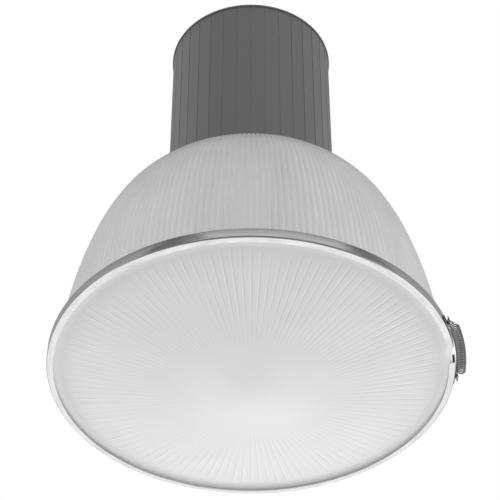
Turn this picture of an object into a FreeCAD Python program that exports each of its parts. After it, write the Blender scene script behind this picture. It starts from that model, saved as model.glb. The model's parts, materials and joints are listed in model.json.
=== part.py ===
import FreeCAD, Part
import math
import os
import types

import Sketcher
from FreeCAD import Placement, Rotation, Vector

# High bay light with a ribbed prismatic dome, a prismatic lens held by a sprung clamp band,
# and the lamp's control gear in the fluted housing above.
# Lengths are millimetres, +Z is up, and the origin is the centre of the hanger's hole.
# Heights are counted from the rim plane, the lower edge of the clamp band's wall.

SIZES = (
    # Clamp band: a V-section strip closed by a spring across its gap
    ("band_radius", 240.0),
    ("band_height", 12.9),
    ("band_gauge", 1.0),
    ("band_bend", 1.6),
    ("band_flange_width", 7.6),
    ("band_flare", 1.0),
    ("band_gap_start", -5.9),
    ("band_gap_angle", 6.7),
    # Rim flanges that the band draws together
    ("rim_flange_inset", 3.5),
    ("rim_bead_width", 2.0),
    ("rim_gasket_gauge", 2.5),
    # Prismatic lens: a shallow cone with radial prisms
    ("lens_recess", 2.5),
    ("lens_gauge", 3.0),
    ("lens_cone_inset", 16.8),
    ("lens_drop", 39.5),
    ("lens_tip_radius", 12.0),
    ("lens_bead", 1.6),
    ("prism_count", 120),
    ("prism_height", 1.0),
    # Prismatic dome: three tangent arcs from the mouth up to the neck
    ("dome_mouth_inset", 10.8),
    ("dome_mouth_lean", 3.6),
    ("dome_lower_arc", 687.0),
    ("dome_lower_lean", 16.3),
    ("dome_middle_arc", 345.0),
    ("dome_middle_lean", 24.5),
    ("dome_shoulder_arc", 145.0),
    ("dome_neck_overhang", 3.1),
    ("dome_gauge", 3.0),
    ("dome_flange_gauge", 3.0),
    ("dome_bead", 1.0),
    ("dome_neck_gauge", 4.0),
    ("dome_neck_rim", 23.0),
    ("dome_inner_sides", 96),
    ("rib_count", 188),
    ("rib_depth", 1.6),
    # Gear housing: extruded tube with flats, grooves and screw bosses
    ("housing_radius", 106.9),
    ("housing_length", 254.7),
    ("housing_wall", 3.5),
    ("flat_count", 36),
    ("groove_width", 1.1),
    ("groove_depth", 0.7),
    ("boss_count", 4),
    ("boss_inset", 9.4),
    ("boss_radius", 7.0),
    # Base plate and neck
    ("base_plate_gauge", 8.0),
    ("base_plate_hole", 25.0),
    ("base_gasket_gauge", 1.0),
    ("gasket_width", 3.0),
    ("neck_gasket_gauge", 2.0),
    ("neck_gasket_width", 14.0),
    ("collar_gauge", 2.0),
    ("collar_foot", 15.0),
    ("collar_brim", 14.0),
    ("collar_screw_inset", 9.0),
    ("collar_screw_count", 6),
    # Top cover
    ("cover_overhang", 1.1),
    ("cover_gauge", 3.6),
    ("cover_edge_radius", 1.2),
    ("cover_hub_radius", 38.0),
    ("cover_hub_height", 9.0),
    ("cover_hub_slope", 5.0),
    ("cover_tap_floor", 1.0),
    ("cover_gasket_groove", 1.0),
    ("cover_gasket_gauge", 1.3),
    # Hanger: an upright plate on two feet bent opposite ways
    ("hanger_gauge", 4.0),
    ("hanger_width", 60.0),
    ("hanger_eye_radius", 6.0),
    ("hanger_eye_height", 34.0),
    ("hanger_crown_radius", 15.0),
    ("hanger_foot", 26.0),
    ("hanger_screw_reach", 16.0),
    ("hanger_screw_spread", 16.0),
    ("hanger_split", 1.0),
    # Cable gland
    ("gland_offset", 66.0),
    ("gland_thread_radius", 10.0),
    ("gland_thread_length", 11.0),
    ("gland_hex", 12.0),
    ("gland_hex_height", 6.0),
    ("gland_barrel_height", 13.0),
    ("gland_bore_radius", 7.0),
    ("gland_cap_radius", 12.0),
    ("gland_cap_top_radius", 9.5),
    ("gland_cap_hole", 6.5),
    ("gland_cap_height", 18.0),
    ("gland_cap_taper", 5.0),
    ("gland_cap_lift", 1.0),
    ("gland_seal_radius", 7.5),
    ("gland_cable_radius", 5.0),
    ("gland_locknut_height", 5.0),
    # Control gear and its tray
    ("tray_gauge", 1.5),
    ("tray_width", 140.0),
    ("tray_height", 210.0),
    ("tray_foot", 30.0),
    ("tray_flange", 12.0),
    ("tray_offset", 8.0),
    ("tray_screw_spread", 45.0),
    ("ballast_width", 66.0),
    ("ballast_depth", 52.0),
    ("ballast_core_length", 100.0),
    ("ballast_foot_length", 14.0),
    ("ballast_winding_width", 44.0),
    ("ballast_winding_depth", 34.0),
    ("ballast_winding_length", 122.0),
    ("ballast_height", 30.0),
    ("ballast_bolt_inset", 6.0),
    ("winding_corner", 8.0),
    ("ignitor_width", 40.0),
    ("ignitor_depth", 34.0),
    ("ignitor_length", 80.0),
    ("ignitor_across", 44.0),
    ("ignitor_height", 34.0),
    ("ignitor_ear", 5.0),
    ("ignitor_ear_radius", 7.0),
    ("ignitor_corner", 4.0),
    ("capacitor_radius", 20.0),
    ("capacitor_length", 92.0),
    ("capacitor_across", -40.0),
    ("capacitor_height", 30.0),
    ("capacitor_edge", 2.0),
    ("capacitor_crimp", 2.0),
    ("capacitor_cap_radius", 9.0),
    ("capacitor_cap_height", 6.0),
    ("clip_gauge", 1.5),
    ("clip_height", 18.0),
    ("clip_ear", 12.0),
    ("terminal_width", 48.0),
    ("terminal_depth", 18.0),
    ("terminal_length", 24.0),
    ("terminal_drop", 52.0),
    ("terminal_ways", 3),
    ("terminal_lead_radius", 3.0),
    ("terminal_well_radius", 2.2),
    # Lamp and lampholder
    ("bridge_gauge", 2.0),
    ("bridge_width", 36.0),
    ("bridge_drop", 16.0),
    ("bridge_span", 76.0),
    ("bridge_foot", 20.0),
    ("holder_height", 62.0),
    ("holder_roof", 16.0),
    ("holder_top_radius", 25.0),
    ("holder_mouth_radius", 30.0),
    ("holder_screw_spread", 14.0),
    ("holder_throat_length", 28.0),
    ("holder_skirt_length", 37.0),
    ("holder_chamfer_radius", 2.0),
    ("holder_chamfer_length", 4.0),
    ("shell_gauge", 0.6),
    ("shell_length", 36.0),
    ("lamp_cap_radius", 19.75),
    ("lamp_cap_length", 44.0),
    ("lamp_cap_taper", 6.0),
    ("lamp_contact_radius", 9.0),
    ("lamp_neck_radius", 22.0),
    ("lamp_neck_length", 8.0),
    ("lamp_tip_radius", 30.0),
    ("lamp_bulb_radius", 45.0),
    ("lamp_length", 226.0),
    # Spring clasp of the band
    ("hook_gauge", 1.2),
    ("hook_width", 5.0),
    ("hook_root", 13.0),
    ("hook_tongue", 9.0),
    ("hook_mouth", 2.4),
    ("spring_stand_off", 7.6),
    ("spring_coil_radius", 4.5),
    ("spring_wire_radius", 0.85),
    ("spring_turns", 20),
    ("spring_start", -19.6),
    ("spring_end", -0.3),
    ("spring_lead", 6.0),
    # Fasteners
    ("large_screw_radius", 3.0),
    ("large_head_radius", 5.0),
    ("large_head_height", 4.0),
    ("case_screw_radius", 2.5),
    ("case_screw_bite", 12.0),
    ("case_head_radius", 4.25),
    ("case_head_height", 5.0),
    ("small_screw_radius", 2.0),
    ("small_screw_bite", 6.0),
    ("small_head_radius", 3.5),
    ("small_head_height", 2.2),
    ("bolt_end", 1.0),
    ("nut_radius", 3.5),
    ("nut_height", 3.2),
    # Clearances, and how far a joined form or a cut runs past the face it meets
    ("seat_gap", 0.3),
    ("hole_gap", 0.3),
    ("thread_gap", 0.05),
    ("overlap", 1.0),
)

doc = FreeCAD.newDocument("HighBayLight")
sheet = doc.addObject("Spreadsheet::Sheet", "Sizes")
sub_parts = []


class Size:
    """A number together with the same thing as an expression on the sheet."""

    def __init__(self, number, text=None):
        self.number = float(number)
        self.text = text or "(%r)" % self.number

    def joined(self, sign, number, other):
        return Size(number, "(%s %s %s)" % (self.text, sign, other.text))

    def __add__(self, other):
        other = as_size(other)
        return self.joined("+", self.number + other.number, other)

    def __sub__(self, other):
        other = as_size(other)
        return self.joined("-", self.number - other.number, other)

    def __mul__(self, other):
        other = as_size(other)
        return self.joined("*", self.number * other.number, other)

    def __truediv__(self, other):
        other = as_size(other)
        return self.joined("/", self.number / other.number, other)

    def __neg__(self):
        return Size(-self.number, "(0 - %s)" % self.text)


def as_size(value):
    return value if isinstance(value, Size) else Size(value)


def fill_sheet():
    """Put every driving size on the sheet under its own alias, and read it back."""
    for row, (alias, number) in enumerate(SIZES, start=1):
        sheet.set("A%d" % row, alias)
        sheet.set("B%d" % row, str(number))
        sheet.setAlias("B%d" % row, alias)
    doc.recompute()
    named = {alias: Size(sheet.get(alias), "Sizes." + alias) for alias, _ in SIZES}
    return types.SimpleNamespace(**named)


S = fill_sheet()


# Sketches


def datum(body, role):
    for feature in body.Origin.OriginFeatures:
        if feature.Role == role:
            return feature
    raise ValueError("no datum " + role)


def sketch(body, name, role="XY_Plane", offset=0):
    """Attach an empty sketch to one of the body's own planes, lifted by the offset."""
    drawing = body.newObject("Sketcher::SketchObject", name)
    drawing.AttachmentSupport = (datum(body, role), [""])
    drawing.MapMode = "FlatFace"
    drawing.setExpression("AttachmentOffset.Base.z", as_size(offset).text)
    return drawing


def pin(drawing, edge, point, spot):
    """Hold one point of an edge at the two sizes of the spot."""
    for kind, value in zip(("DistanceX", "DistanceY"), spot):
        value = as_size(value)
        index = drawing.addConstraint(Sketcher.Constraint(kind, edge, point, value.number))
        drawing.setExpression("Constraints[%d]" % index, value.text)


def circle(drawing, centre, radius):
    radius = as_size(radius)
    middle = Vector(as_size(centre[0]).number, as_size(centre[1]).number, 0)
    edge = drawing.addGeometry(Part.Circle(middle, Vector(0, 0, 1), radius.number))
    pin(drawing, edge, 3, centre)
    index = drawing.addConstraint(Sketcher.Constraint("Radius", edge, radius.number))
    drawing.setExpression("Constraints[%d]" % index, radius.text)


def arc_between(start, end, radius):
    """Short arc between two spots. A positive radius turns left, a negative one right."""
    chord = end - start
    left = Vector(-chord.y, chord.x, 0).normalize()
    reach = math.sqrt(max(radius * radius - chord.Length * chord.Length / 4, 0.0))
    centre = (start + end) / 2 + left * (reach if radius > 0 else -reach)
    first, last = (start, end) if radius > 0 else (end, start)
    opening = math.atan2(first.y - centre.y, first.x - centre.x)
    closing = math.atan2(last.y - centre.y, last.x - centre.x)
    if closing < opening:
        closing += 2 * math.pi
    return Part.ArcOfCircle(Part.Circle(centre, Vector(0, 0, 1), abs(radius)), opening, closing)


def outline(drawing, corners):
    """Close an outline. A corner is (x, y), or (x, y, radius) when an arc leaves it."""
    spots = [Vector(as_size(c[0]).number, as_size(c[1]).number, 0) for c in corners]
    edges = []
    for index, corner in enumerate(corners):
        start = spots[index]
        end = spots[(index + 1) % len(spots)]
        turn = as_size(corner[2]).number if len(corner) == 3 else 0
        shape = arc_between(start, end, turn) if turn else Part.LineSegment(start, end)
        first, last = (2, 1) if turn < 0 else (1, 2)
        edges.append((drawing.addGeometry(shape), first, last))
    for index, (edge, first, last) in enumerate(edges):
        following = edges[(index + 1) % len(edges)]
        drawing.addConstraint(
            Sketcher.Constraint("Coincident", edge, last, following[0], following[1]))
    for (edge, first, last), corner in zip(edges, corners):
        pin(drawing, edge, first, corner[:2])
        if len(corner) == 3:
            radius = as_size(corner[2])
            radius = radius if radius.number > 0 else -radius
            index = drawing.addConstraint(Sketcher.Constraint("Radius", edge, radius.number))
            drawing.setExpression("Constraints[%d]" % index, radius.text)


def rectangle(drawing, low, high):
    outline(drawing, [low, (high[0], low[1]), high, (low[0], high[1])])


# Features


def body(label, level=0, across=0, depth=0, turn=0):
    """Start a body whose own origin stands at the given height above the rim plane."""
    made = doc.addObject("PartDesign::Body", label)
    made.Label = label
    made.Placement = Placement(Vector(), Rotation(Vector(0, 0, 1), 0))
    made.setExpression(".Placement.Base.x", as_size(across).text)
    made.setExpression(".Placement.Base.y", as_size(depth).text)
    made.setExpression(".Placement.Base.z", (as_size(level) - hang_height).text)
    if as_size(turn).number:
        made.Placement.Rotation = Rotation(Vector(0, 0, 1), as_size(turn).number)
        made.setExpression(".Placement.Rotation.Angle", as_size(turn).text)
    sub_parts.append(made)
    return made


def pad(made, drawing, length, both_ways=False, down=False):
    feature = made.newObject("PartDesign::Pad", drawing.Name + "_pad")
    feature.Profile = drawing
    feature.setExpression("Length", as_size(length).text)
    if both_ways:
        feature.SideType = "Symmetric"
    feature.Reversed = down
    return feature


def pocket(made, drawing, length=None, up=False):
    """Cut a sketch into the body, by a length or right through both ways."""
    feature = made.newObject("PartDesign::Pocket", drawing.Name + "_pocket")
    feature.Profile = drawing
    if length is None:
        feature.SideType = "Symmetric"
        feature.Type = "ThroughAll"
    else:
        feature.setExpression("Length", as_size(length).text)
        feature.Reversed = up
    return feature


def around(made, feature, count):
    """Repeat a feature evenly about the body's own Z axis."""
    pattern = made.newObject("PartDesign::PolarPattern", feature.Name + "_pattern")
    pattern.Originals = [feature]
    pattern.Axis = (datum(made, "Z_Axis"), [""])
    pattern.Angle = 360
    pattern.setExpression("Occurrences", as_size(count).text)
    made.Tip = pattern
    return pattern


def turned(label, level, corners, sweep=360, **where):
    """Revolve an outline of (radius, height) corners about the body's own Z axis."""
    made = body(label, level, **where)
    profile = sketch(made, label + "_profile", "XZ_Plane")
    outline(profile, corners)
    feature = made.newObject("PartDesign::Revolution", label + "_turned")
    feature.Profile = profile
    feature.ReferenceAxis = (profile, ["V_Axis"])
    feature.Angle = 360
    if isinstance(sweep, Size):
        feature.setExpression("Angle", sweep.text)
    return made


def ring(label, level, inner, outer, gauge, **where):
    return turned(label, level, [(inner, 0), (outer, 0), (outer, gauge), (inner, gauge)], **where)


def bolts(label, level, spots, shank_radius, shank_length, head_radius, head_height, role="XY_Plane",
          head_up=True, **where):
    """Screws side by side: heads on one side of the plane, shanks on the other."""
    made = body(label, level, **where)
    shanks = sketch(made, label + "_shanks", role)
    heads = sketch(made, label + "_heads", role)
    for spot in spots:
        circle(shanks, spot, shank_radius)
        circle(heads, spot, head_radius)
    pad(made, shanks, shank_length, down=head_up)
    pad(made, heads, head_height, down=not head_up)
    return made


def on_circle(radius, count, first=0.0):
    """Spots spread evenly on a circle, the first one at the given angle."""
    spots = []
    for index in range(int(as_size(count).number)):
        angle = math.radians(first) + 2 * math.pi * index / as_size(count).number
        spots.append((as_size(radius) * math.cos(angle), as_size(radius) * math.sin(angle)))
    return spots


def solid_feature(label, shape, level):
    """Keep a shape built with Part's own functions as a sub-part at its height."""
    made = doc.addObject("Part::Feature", label)
    made.Label = label
    made.Shape = shape
    made.Placement = Placement(Vector(0, 0, as_size(level).number - hang_height.number), Rotation())
    sub_parts.append(made)
    return made


# Sizes that follow the band's, the housing's and the tray's
lens_cone_radius = S.band_radius - S.lens_cone_inset
dome_mouth_radius = S.band_radius - S.dome_mouth_inset
dome_neck_radius = S.housing_radius + S.dome_neck_overhang
dome_neck_hole = dome_neck_radius - S.dome_neck_rim
collar_hole = dome_neck_hole - S.collar_foot
collar_screw_circle = dome_neck_hole - S.collar_screw_inset
boss_circle = S.housing_radius - S.boss_inset
cover_radius = S.housing_radius + S.cover_overhang
terminal_height = S.tray_height - S.terminal_drop


# The dome's profile


def dome_arcs():
    """Tangent arcs from the mouth to the neck: centre r, centre z, radius, first and last lean."""
    radius = dome_mouth_radius.number
    height = S.dome_flange_gauge.number
    lean = math.radians(S.dome_mouth_lean.number)
    arcs = []
    for reach, last in ((S.dome_lower_arc, S.dome_lower_lean),
                        (S.dome_middle_arc, S.dome_middle_lean),
                        (S.dome_shoulder_arc, None)):
        reach = reach.number
        centre_r = radius - reach * math.cos(lean)
        centre_z = height - reach * math.sin(lean)
        if last is None:
            end = math.acos((dome_neck_radius.number - centre_r) / reach)
        else:
            end = math.radians(last.number)
        arcs.append((centre_r, centre_z, reach, lean, end))
        radius = centre_r + reach * math.cos(end)
        height = centre_z + reach * math.sin(end)
        lean = end
    return arcs, height


ARCS, dome_rise = dome_arcs()
sheet.set("C1", str(dome_rise))
sheet.setAlias("C1", "dome_rise")
doc.recompute()

# Heights above the rim plane
rim_gasket_level = S.lens_recess + S.lens_gauge
dome_level = rim_gasket_level + S.rim_gasket_gauge
neck_level = dome_level + Size(sheet.get("dome_rise"), "Sizes.dome_rise")
base_level = neck_level + S.neck_gasket_gauge
gear_level = base_level + S.base_plate_gauge
housing_level = gear_level + S.base_gasket_gauge
housing_top = housing_level + S.housing_length
cover_level = housing_top + S.cover_gasket_gauge - S.cover_gasket_groove
hub_level = cover_level + S.cover_hub_height
hang_height = hub_level + S.hanger_eye_height

rim_flange_radius = S.band_radius - S.rim_flange_inset
rim_bead_radius = rim_flange_radius - S.rim_bead_width


# Rim: band, lens, gasket and dome


def star(radius, height, count, depth):
    """Closed zigzag of ridges and valleys about the Z axis, or an even polygon without depth."""
    corners = []
    for index in range(2 * count):
        angle = math.pi * index / count
        reach = radius - depth * (index % 2)
        corners.append(Vector(reach * math.cos(angle), reach * math.sin(angle), height))
    return Part.makePolygon(corners + corners[:1])


def dome_stations(inset, top):
    """Points (radius, height) up to a given top, a depth inside the arcs, closer where they bend."""
    stations = []
    steps_up = (2, 1, 4)
    for index, (centre_r, centre_z, reach, lean, end) in enumerate(ARCS):
        reach -= inset
        if index == len(ARCS) - 1:
            end = math.asin((top - centre_z) / reach)
        for step in range(steps_up[index]):
            angle = lean + (end - lean) * step / steps_up[index]
            stations.append((centre_r + reach * math.cos(angle), centre_z + reach * math.sin(angle)))
    stations.append((centre_r + reach * math.cos(end), top))
    return stations


def turned_faces(corners):
    """Faces swept about the Z axis by a run of straight lines through (radius, height) corners."""
    points = [Vector(radius, 0, height) for radius, height in corners]
    return [Part.makeLine(first, last).revolve(Vector(), Vector(0, 0, 1), 360)
            for first, last in zip(points, points[1:])]


def flat_between(outer, inner):
    return Part.makeFace([outer, inner], "Part::FaceMakerBullseye")


def round_wire(radius, height):
    return Part.Wire([Part.makeCircle(radius, Vector(0, 0, height))])


def closed_solid(pieces):
    """Sew surfaces into one closed solid whose faces point outwards."""
    faces = [face for piece in pieces for face in piece.Faces]
    shell = Part.Shell(faces)
    shell.sewShape()
    return outward(Part.Solid(Part.Shell(shell.Faces)))


def outward(solid):
    """Turn a solid the right way round, so that its faces point outwards."""
    if solid.Volume < 0:
        solid.reverse()
    return solid


def prismatic_dome():
    """Moulded bell: upright ribs outside, smooth inside, a rim flange and a neck flange."""
    ribs = int(S.rib_count.number)
    share = S.rib_depth.number / dome_mouth_radius.number
    outside = [star(radius, height, ribs, radius * share)
               for radius, height in dome_stations(0.0, dome_rise)]
    sides = int(S.dome_inner_sides.number)
    underside = dome_rise - S.dome_neck_gauge.number
    stations = dome_stations(S.dome_gauge.number, underside)
    inside = [star(radius, height, sides // 2, 0.0)
              for radius, height in [(stations[0][0], 0.0)] + stations]
    top = S.dome_flange_gauge.number
    rim = rim_flange_radius.number
    bead_radius = rim_bead_radius.number
    bead = top + S.dome_bead.number
    hole = dome_neck_hole.number
    rim_faces = turned_faces([(rim, 0), (rim, bead), (bead_radius, bead), (bead_radius, top)])
    neck_faces = turned_faces([(hole, underside), (hole, dome_rise)])
    flats = [flat_between(round_wire(rim, 0), inside[0]),
             flat_between(round_wire(bead_radius, top), outside[0]),
             flat_between(inside[-1], round_wire(hole, underside)),
             flat_between(outside[-1], round_wire(hole, dome_rise))]
    walls = [Part.makeLoft(outside, False, True), Part.makeLoft(inside, False, True)]
    solid_feature("prismatic_dome", closed_solid(walls + flats + rim_faces + neck_faces), dome_level)


def lens_facets(outer, tip, drop, height, count):
    """Underside of the cone: each prism is two slopes that fade towards the tip, and an end face."""
    facets = []
    for index in range(count):
        angle = 2 * math.pi * index / count
        half = math.pi / count
        low, ridge, high = angle - half, angle, angle + half

        def spot(radius, at, z):
            return Vector(radius * math.cos(at), radius * math.sin(at), z)

        edge_low = spot(outer, low, 0)
        edge_high = spot(outer, high, 0)
        crest = spot(outer * math.cos(half), ridge, -height)
        tip_low = spot(tip, low, -drop)
        tip_mid = spot(tip, ridge, -drop)
        tip_high = spot(tip, high, -drop)
        for triangle in ((edge_low, crest, tip_mid), (edge_low, tip_mid, tip_low),
                         (edge_high, tip_mid, crest), (edge_high, tip_high, tip_mid),
                         (edge_low, edge_high, crest)):
            facets.append(Part.Face(Part.makePolygon(list(triangle) + [triangle[0]])))
    return facets


def prismatic_lens():
    """Shallow cone closed by its tip: radial prisms below, smooth above, a border and a bead."""
    count = int(S.prism_count.number)
    outer = lens_cone_radius.number
    tip = S.lens_tip_radius.number
    gauge = S.lens_gauge.number
    drop = S.lens_drop.number * (outer - tip) / outer
    rim = rim_flange_radius.number
    bead_radius = rim_bead_radius.number
    bead = -S.lens_bead.number
    facets = lens_facets(outer, tip, drop, S.prism_height.number, count)
    half = math.pi / count
    edge = [Vector(outer * math.cos(half * k), outer * math.sin(half * k), 0)
            for k in range(1, 2 * count, 2)]
    edge = Part.makePolygon(edge + edge[:1])
    tip_corners = [Vector(tip * math.cos(half * k), tip * math.sin(half * k), -drop)
                   for k in range(2 * count)]
    tip_face = Part.Face(Part.makePolygon(tip_corners + tip_corners[:1]))
    border = flat_between(round_wire(bead_radius, 0), edge)
    above = turned_faces([(bead_radius, 0), (bead_radius, bead), (rim, bead), (rim, gauge),
                          (outer, gauge), (tip, gauge - drop)])
    top_face = Part.Face(round_wire(tip, gauge - drop))
    shape = closed_solid(facets + [tip_face, border, top_face] + above)
    solid_feature("prismatic_lens", shape, S.lens_recess)


def clamp_band():
    """Strip rolled to an open V section: a wall between two flanges that flare inwards."""
    outer = S.band_radius
    inner = outer - S.band_flange_width
    height = S.band_height
    gauge = S.band_gauge
    bend = S.band_bend
    inside = bend - gauge
    section = [(inner, -S.band_flare), (outer - bend, 0, bend), (outer, bend),
               (outer, height - bend, bend), (outer - bend, height), (inner, height + S.band_flare),
               (inner, height + S.band_flare - gauge), (outer - bend, height - gauge, -inside),
               (outer - gauge, height - bend), (outer - gauge, bend, -inside),
               (outer - bend, gauge), (inner, gauge - S.band_flare)]
    turned("clamp_band", 0, section, sweep=Size(360) - S.band_gap_angle, turn=S.band_gap_start)


def rim_gasket():
    ring("rim_gasket", rim_gasket_level, lens_cone_radius + S.gasket_width,
         rim_flange_radius - S.gasket_width, S.rim_gasket_gauge)


# Housing, base plate and neck


def gear_housing():
    """Extruded tube: flats outside with a groove between each two, and screw bosses inside."""
    made = body("gear_housing", housing_level)
    count = int(S.flat_count.number)
    section = sketch(made, "housing_section")
    outline(section, on_circle(S.housing_radius, count, 90.0))
    tube = pad(made, section, S.housing_length)
    doc.recompute()
    bore = sketch(made, "housing_bore")
    bore_radius = S.housing_radius - S.housing_wall
    circle(bore, (0, 0), bore_radius)
    pocket(made, bore, S.housing_length, up=True)
    groove = sketch(made, "housing_groove")
    rectangle(groove, (-(S.groove_width / 2), -S.housing_radius - S.overlap),
              (S.groove_width / 2, S.groove_depth - S.housing_radius))
    around(made, pocket(made, groove, S.housing_length, up=True), S.flat_count)
    boss = sketch(made, "housing_boss")
    diagonal = math.sqrt(0.5)
    circle(boss, (boss_circle * diagonal, boss_circle * diagonal), S.boss_radius)
    around(made, pad(made, boss, S.housing_length), S.boss_count)
    screw_way = sketch(made, "housing_screw_way")
    circle(screw_way, (boss_circle * diagonal, boss_circle * diagonal),
           S.case_screw_radius + S.thread_gap)
    around(made, pocket(made, screw_way, S.housing_length, up=True), S.boss_count)


def base_plate():
    """Cast disc that closes the housing, counterbored from below for its screws."""
    made = turned("base_plate", base_level,
                  [(S.base_plate_hole, 0), (S.housing_radius, 0), (S.housing_radius, S.base_plate_gauge),
                   (S.base_plate_hole, S.base_plate_gauge)])
    doc.recompute()
    ways = sketch(made, "base_screw_ways")
    for spot in boss_spots():
        circle(ways, spot, S.case_screw_radius + S.hole_gap)
    for spot in collar_spots():
        circle(ways, spot, S.small_screw_radius + S.thread_gap)
    for spot in bridge_spots():
        circle(ways, spot, S.small_screw_radius + S.thread_gap)
    for spot in tray_spots():
        circle(ways, spot, S.small_screw_radius + S.thread_gap)
    pocket(made, ways, S.base_plate_gauge, up=True)
    sinks = sketch(made, "base_screw_sinks")
    for spot in boss_spots():
        circle(sinks, spot, S.case_head_radius + S.hole_gap)
    pocket(made, sinks, S.case_head_height + S.seat_gap, up=True)


def boss_spots():
    return on_circle(boss_circle, S.boss_count, 45.0)


def collar_spots():
    return on_circle(collar_screw_circle, S.collar_screw_count, 15.0)


def bridge_spots():
    reach = (S.bridge_span + S.bridge_foot) / 2
    return [(reach, 0), (-reach, 0)]


def tray_spots():
    depth = -S.tray_offset - S.tray_foot / 2
    return [(S.tray_screw_spread, depth), (-S.tray_screw_spread, depth)]


def base_screws():
    """Cap screws sunk in the base plate, turned up into the housing's bosses."""
    level = base_level + S.case_head_height + S.seat_gap
    bolts("base_screws", level, boss_spots(), S.case_screw_radius,
          S.base_plate_gauge + S.case_screw_bite, S.case_head_radius, S.case_head_height, head_up=False)


def base_gasket():
    inner = S.housing_radius - S.gasket_width - S.seat_gap
    outer = S.housing_radius - S.groove_depth - S.seat_gap
    ring("base_gasket", gear_level, inner, outer, S.base_gasket_gauge)


def neck_gasket():
    outer = dome_neck_radius - S.gasket_width * 2
    ring("neck_gasket", neck_level, outer - S.neck_gasket_width, outer, S.neck_gasket_gauge)


def collar_depth():
    return S.dome_neck_gauge + S.neck_gasket_gauge


def retaining_collar():
    """Pressed steel collar: its brim holds the dome's neck up, its foot is screwed to the plate."""
    wall = dome_neck_hole - S.hole_gap
    inner_wall = wall - S.collar_gauge
    gauge = S.collar_gauge
    brim = dome_neck_hole + S.collar_brim
    floor = -(collar_depth() + gauge)
    made = turned("retaining_collar", base_level,
                  [(collar_hole, -gauge), (inner_wall, -gauge), (inner_wall, floor), (brim, floor),
                   (brim, floor + gauge), (wall, floor + gauge), (wall, 0), (collar_hole, 0)])
    doc.recompute()
    ways = sketch(made, "collar_screw_ways")
    for spot in collar_spots():
        circle(ways, spot, S.small_screw_radius + S.hole_gap)
    pocket(made, ways, gauge)


def collar_screws():
    bolts("collar_screws", base_level - S.collar_gauge, collar_spots(), S.small_screw_radius,
          S.collar_gauge + S.small_screw_bite, S.small_head_radius, S.small_head_height, head_up=False)


# Top cover, hanger and gland


def top_cover():
    """Cast lid: its edge stands out past the housing, with a gasket groove below and a hub above."""
    edge = S.cover_edge_radius
    groove_out = S.housing_radius - S.groove_depth
    groove_in = groove_out - S.gasket_width
    groove = S.cover_gasket_groove
    gauge = S.cover_gauge
    hub = S.cover_hub_radius
    made = turned("top_cover", cover_level,
                  [(0, 0), (groove_in, 0), (groove_in, groove), (groove_out, groove), (groove_out, 0),
                   (cover_radius, 0), (cover_radius, gauge - edge, edge), (cover_radius - edge, gauge),
                   (hub + S.cover_hub_slope, gauge), (hub, S.cover_hub_height),
                   (0, S.cover_hub_height)])
    doc.recompute()
    ways = sketch(made, "cover_ways")
    for spot in boss_spots():
        circle(ways, spot, S.case_screw_radius + S.hole_gap)
    circle(ways, (S.gland_offset, 0), S.gland_thread_radius + S.hole_gap)
    pocket(made, ways, S.cover_gauge, up=True)
    taps = sketch(made, "cover_hanger_taps", offset=S.cover_hub_height)
    for spot in hanger_spots():
        circle(taps, spot, S.large_screw_radius + S.thread_gap)
    pocket(made, taps, S.cover_hub_height - S.cover_tap_floor)


def hanger_spots():
    return [(-S.hanger_screw_spread, S.hanger_screw_reach), (S.hanger_screw_spread, -S.hanger_screw_reach)]


def top_cover_gasket():
    outer = S.housing_radius - S.groove_depth
    ring("top_cover_gasket", housing_top, outer - S.gasket_width + S.seat_gap, outer - S.seat_gap,
         S.cover_gasket_gauge)


def top_cover_screws():
    bolts("top_cover_screws", cover_level + S.cover_gauge, boss_spots(), S.case_screw_radius,
          S.cover_gauge + S.case_screw_bite, S.case_head_radius, S.case_head_height)


def hanger():
    """Steel plate with an eye, standing on two feet that are bent to opposite sides."""
    made = body("hanger_plate", hub_level)
    gauge = S.hanger_gauge
    half = S.hanger_width / 2
    crown = S.hanger_crown_radius
    eye = S.hanger_eye_height
    upright = sketch(made, "hanger_upright", "XZ_Plane")
    shoulder = gauge * 2
    outline(upright, [(-half, 0), (half, 0), (half, shoulder), (crown, eye, crown),
                      (0, eye + crown, crown), (-crown, eye), (-half, shoulder)])
    pad(made, upright, gauge, both_ways=True)
    feet = sketch(made, "hanger_feet")
    rectangle(feet, (-half, 0), (-S.hanger_split, S.hanger_foot))
    rectangle(feet, (S.hanger_split, -S.hanger_foot), (half, 0))
    pad(made, feet, gauge)
    doc.recompute()
    ways = sketch(made, "hanger_screw_ways")
    for spot in hanger_spots():
        circle(ways, spot, S.large_screw_radius + S.hole_gap)
    pocket(made, ways, gauge, up=True)
    hole = sketch(made, "hanger_eye", "XZ_Plane")
    circle(hole, (0, eye), S.hanger_eye_radius)
    pocket(made, hole)


def hanger_screws():
    bolts("hanger_screws", hub_level + S.hanger_gauge, hanger_spots(), S.large_screw_radius,
          S.hanger_gauge + S.small_screw_bite, S.large_head_radius, S.large_head_height)


def hexagon(across_flats):
    corner = across_flats / math.cos(math.pi / 6)
    return on_circle(corner, 6)


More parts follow.
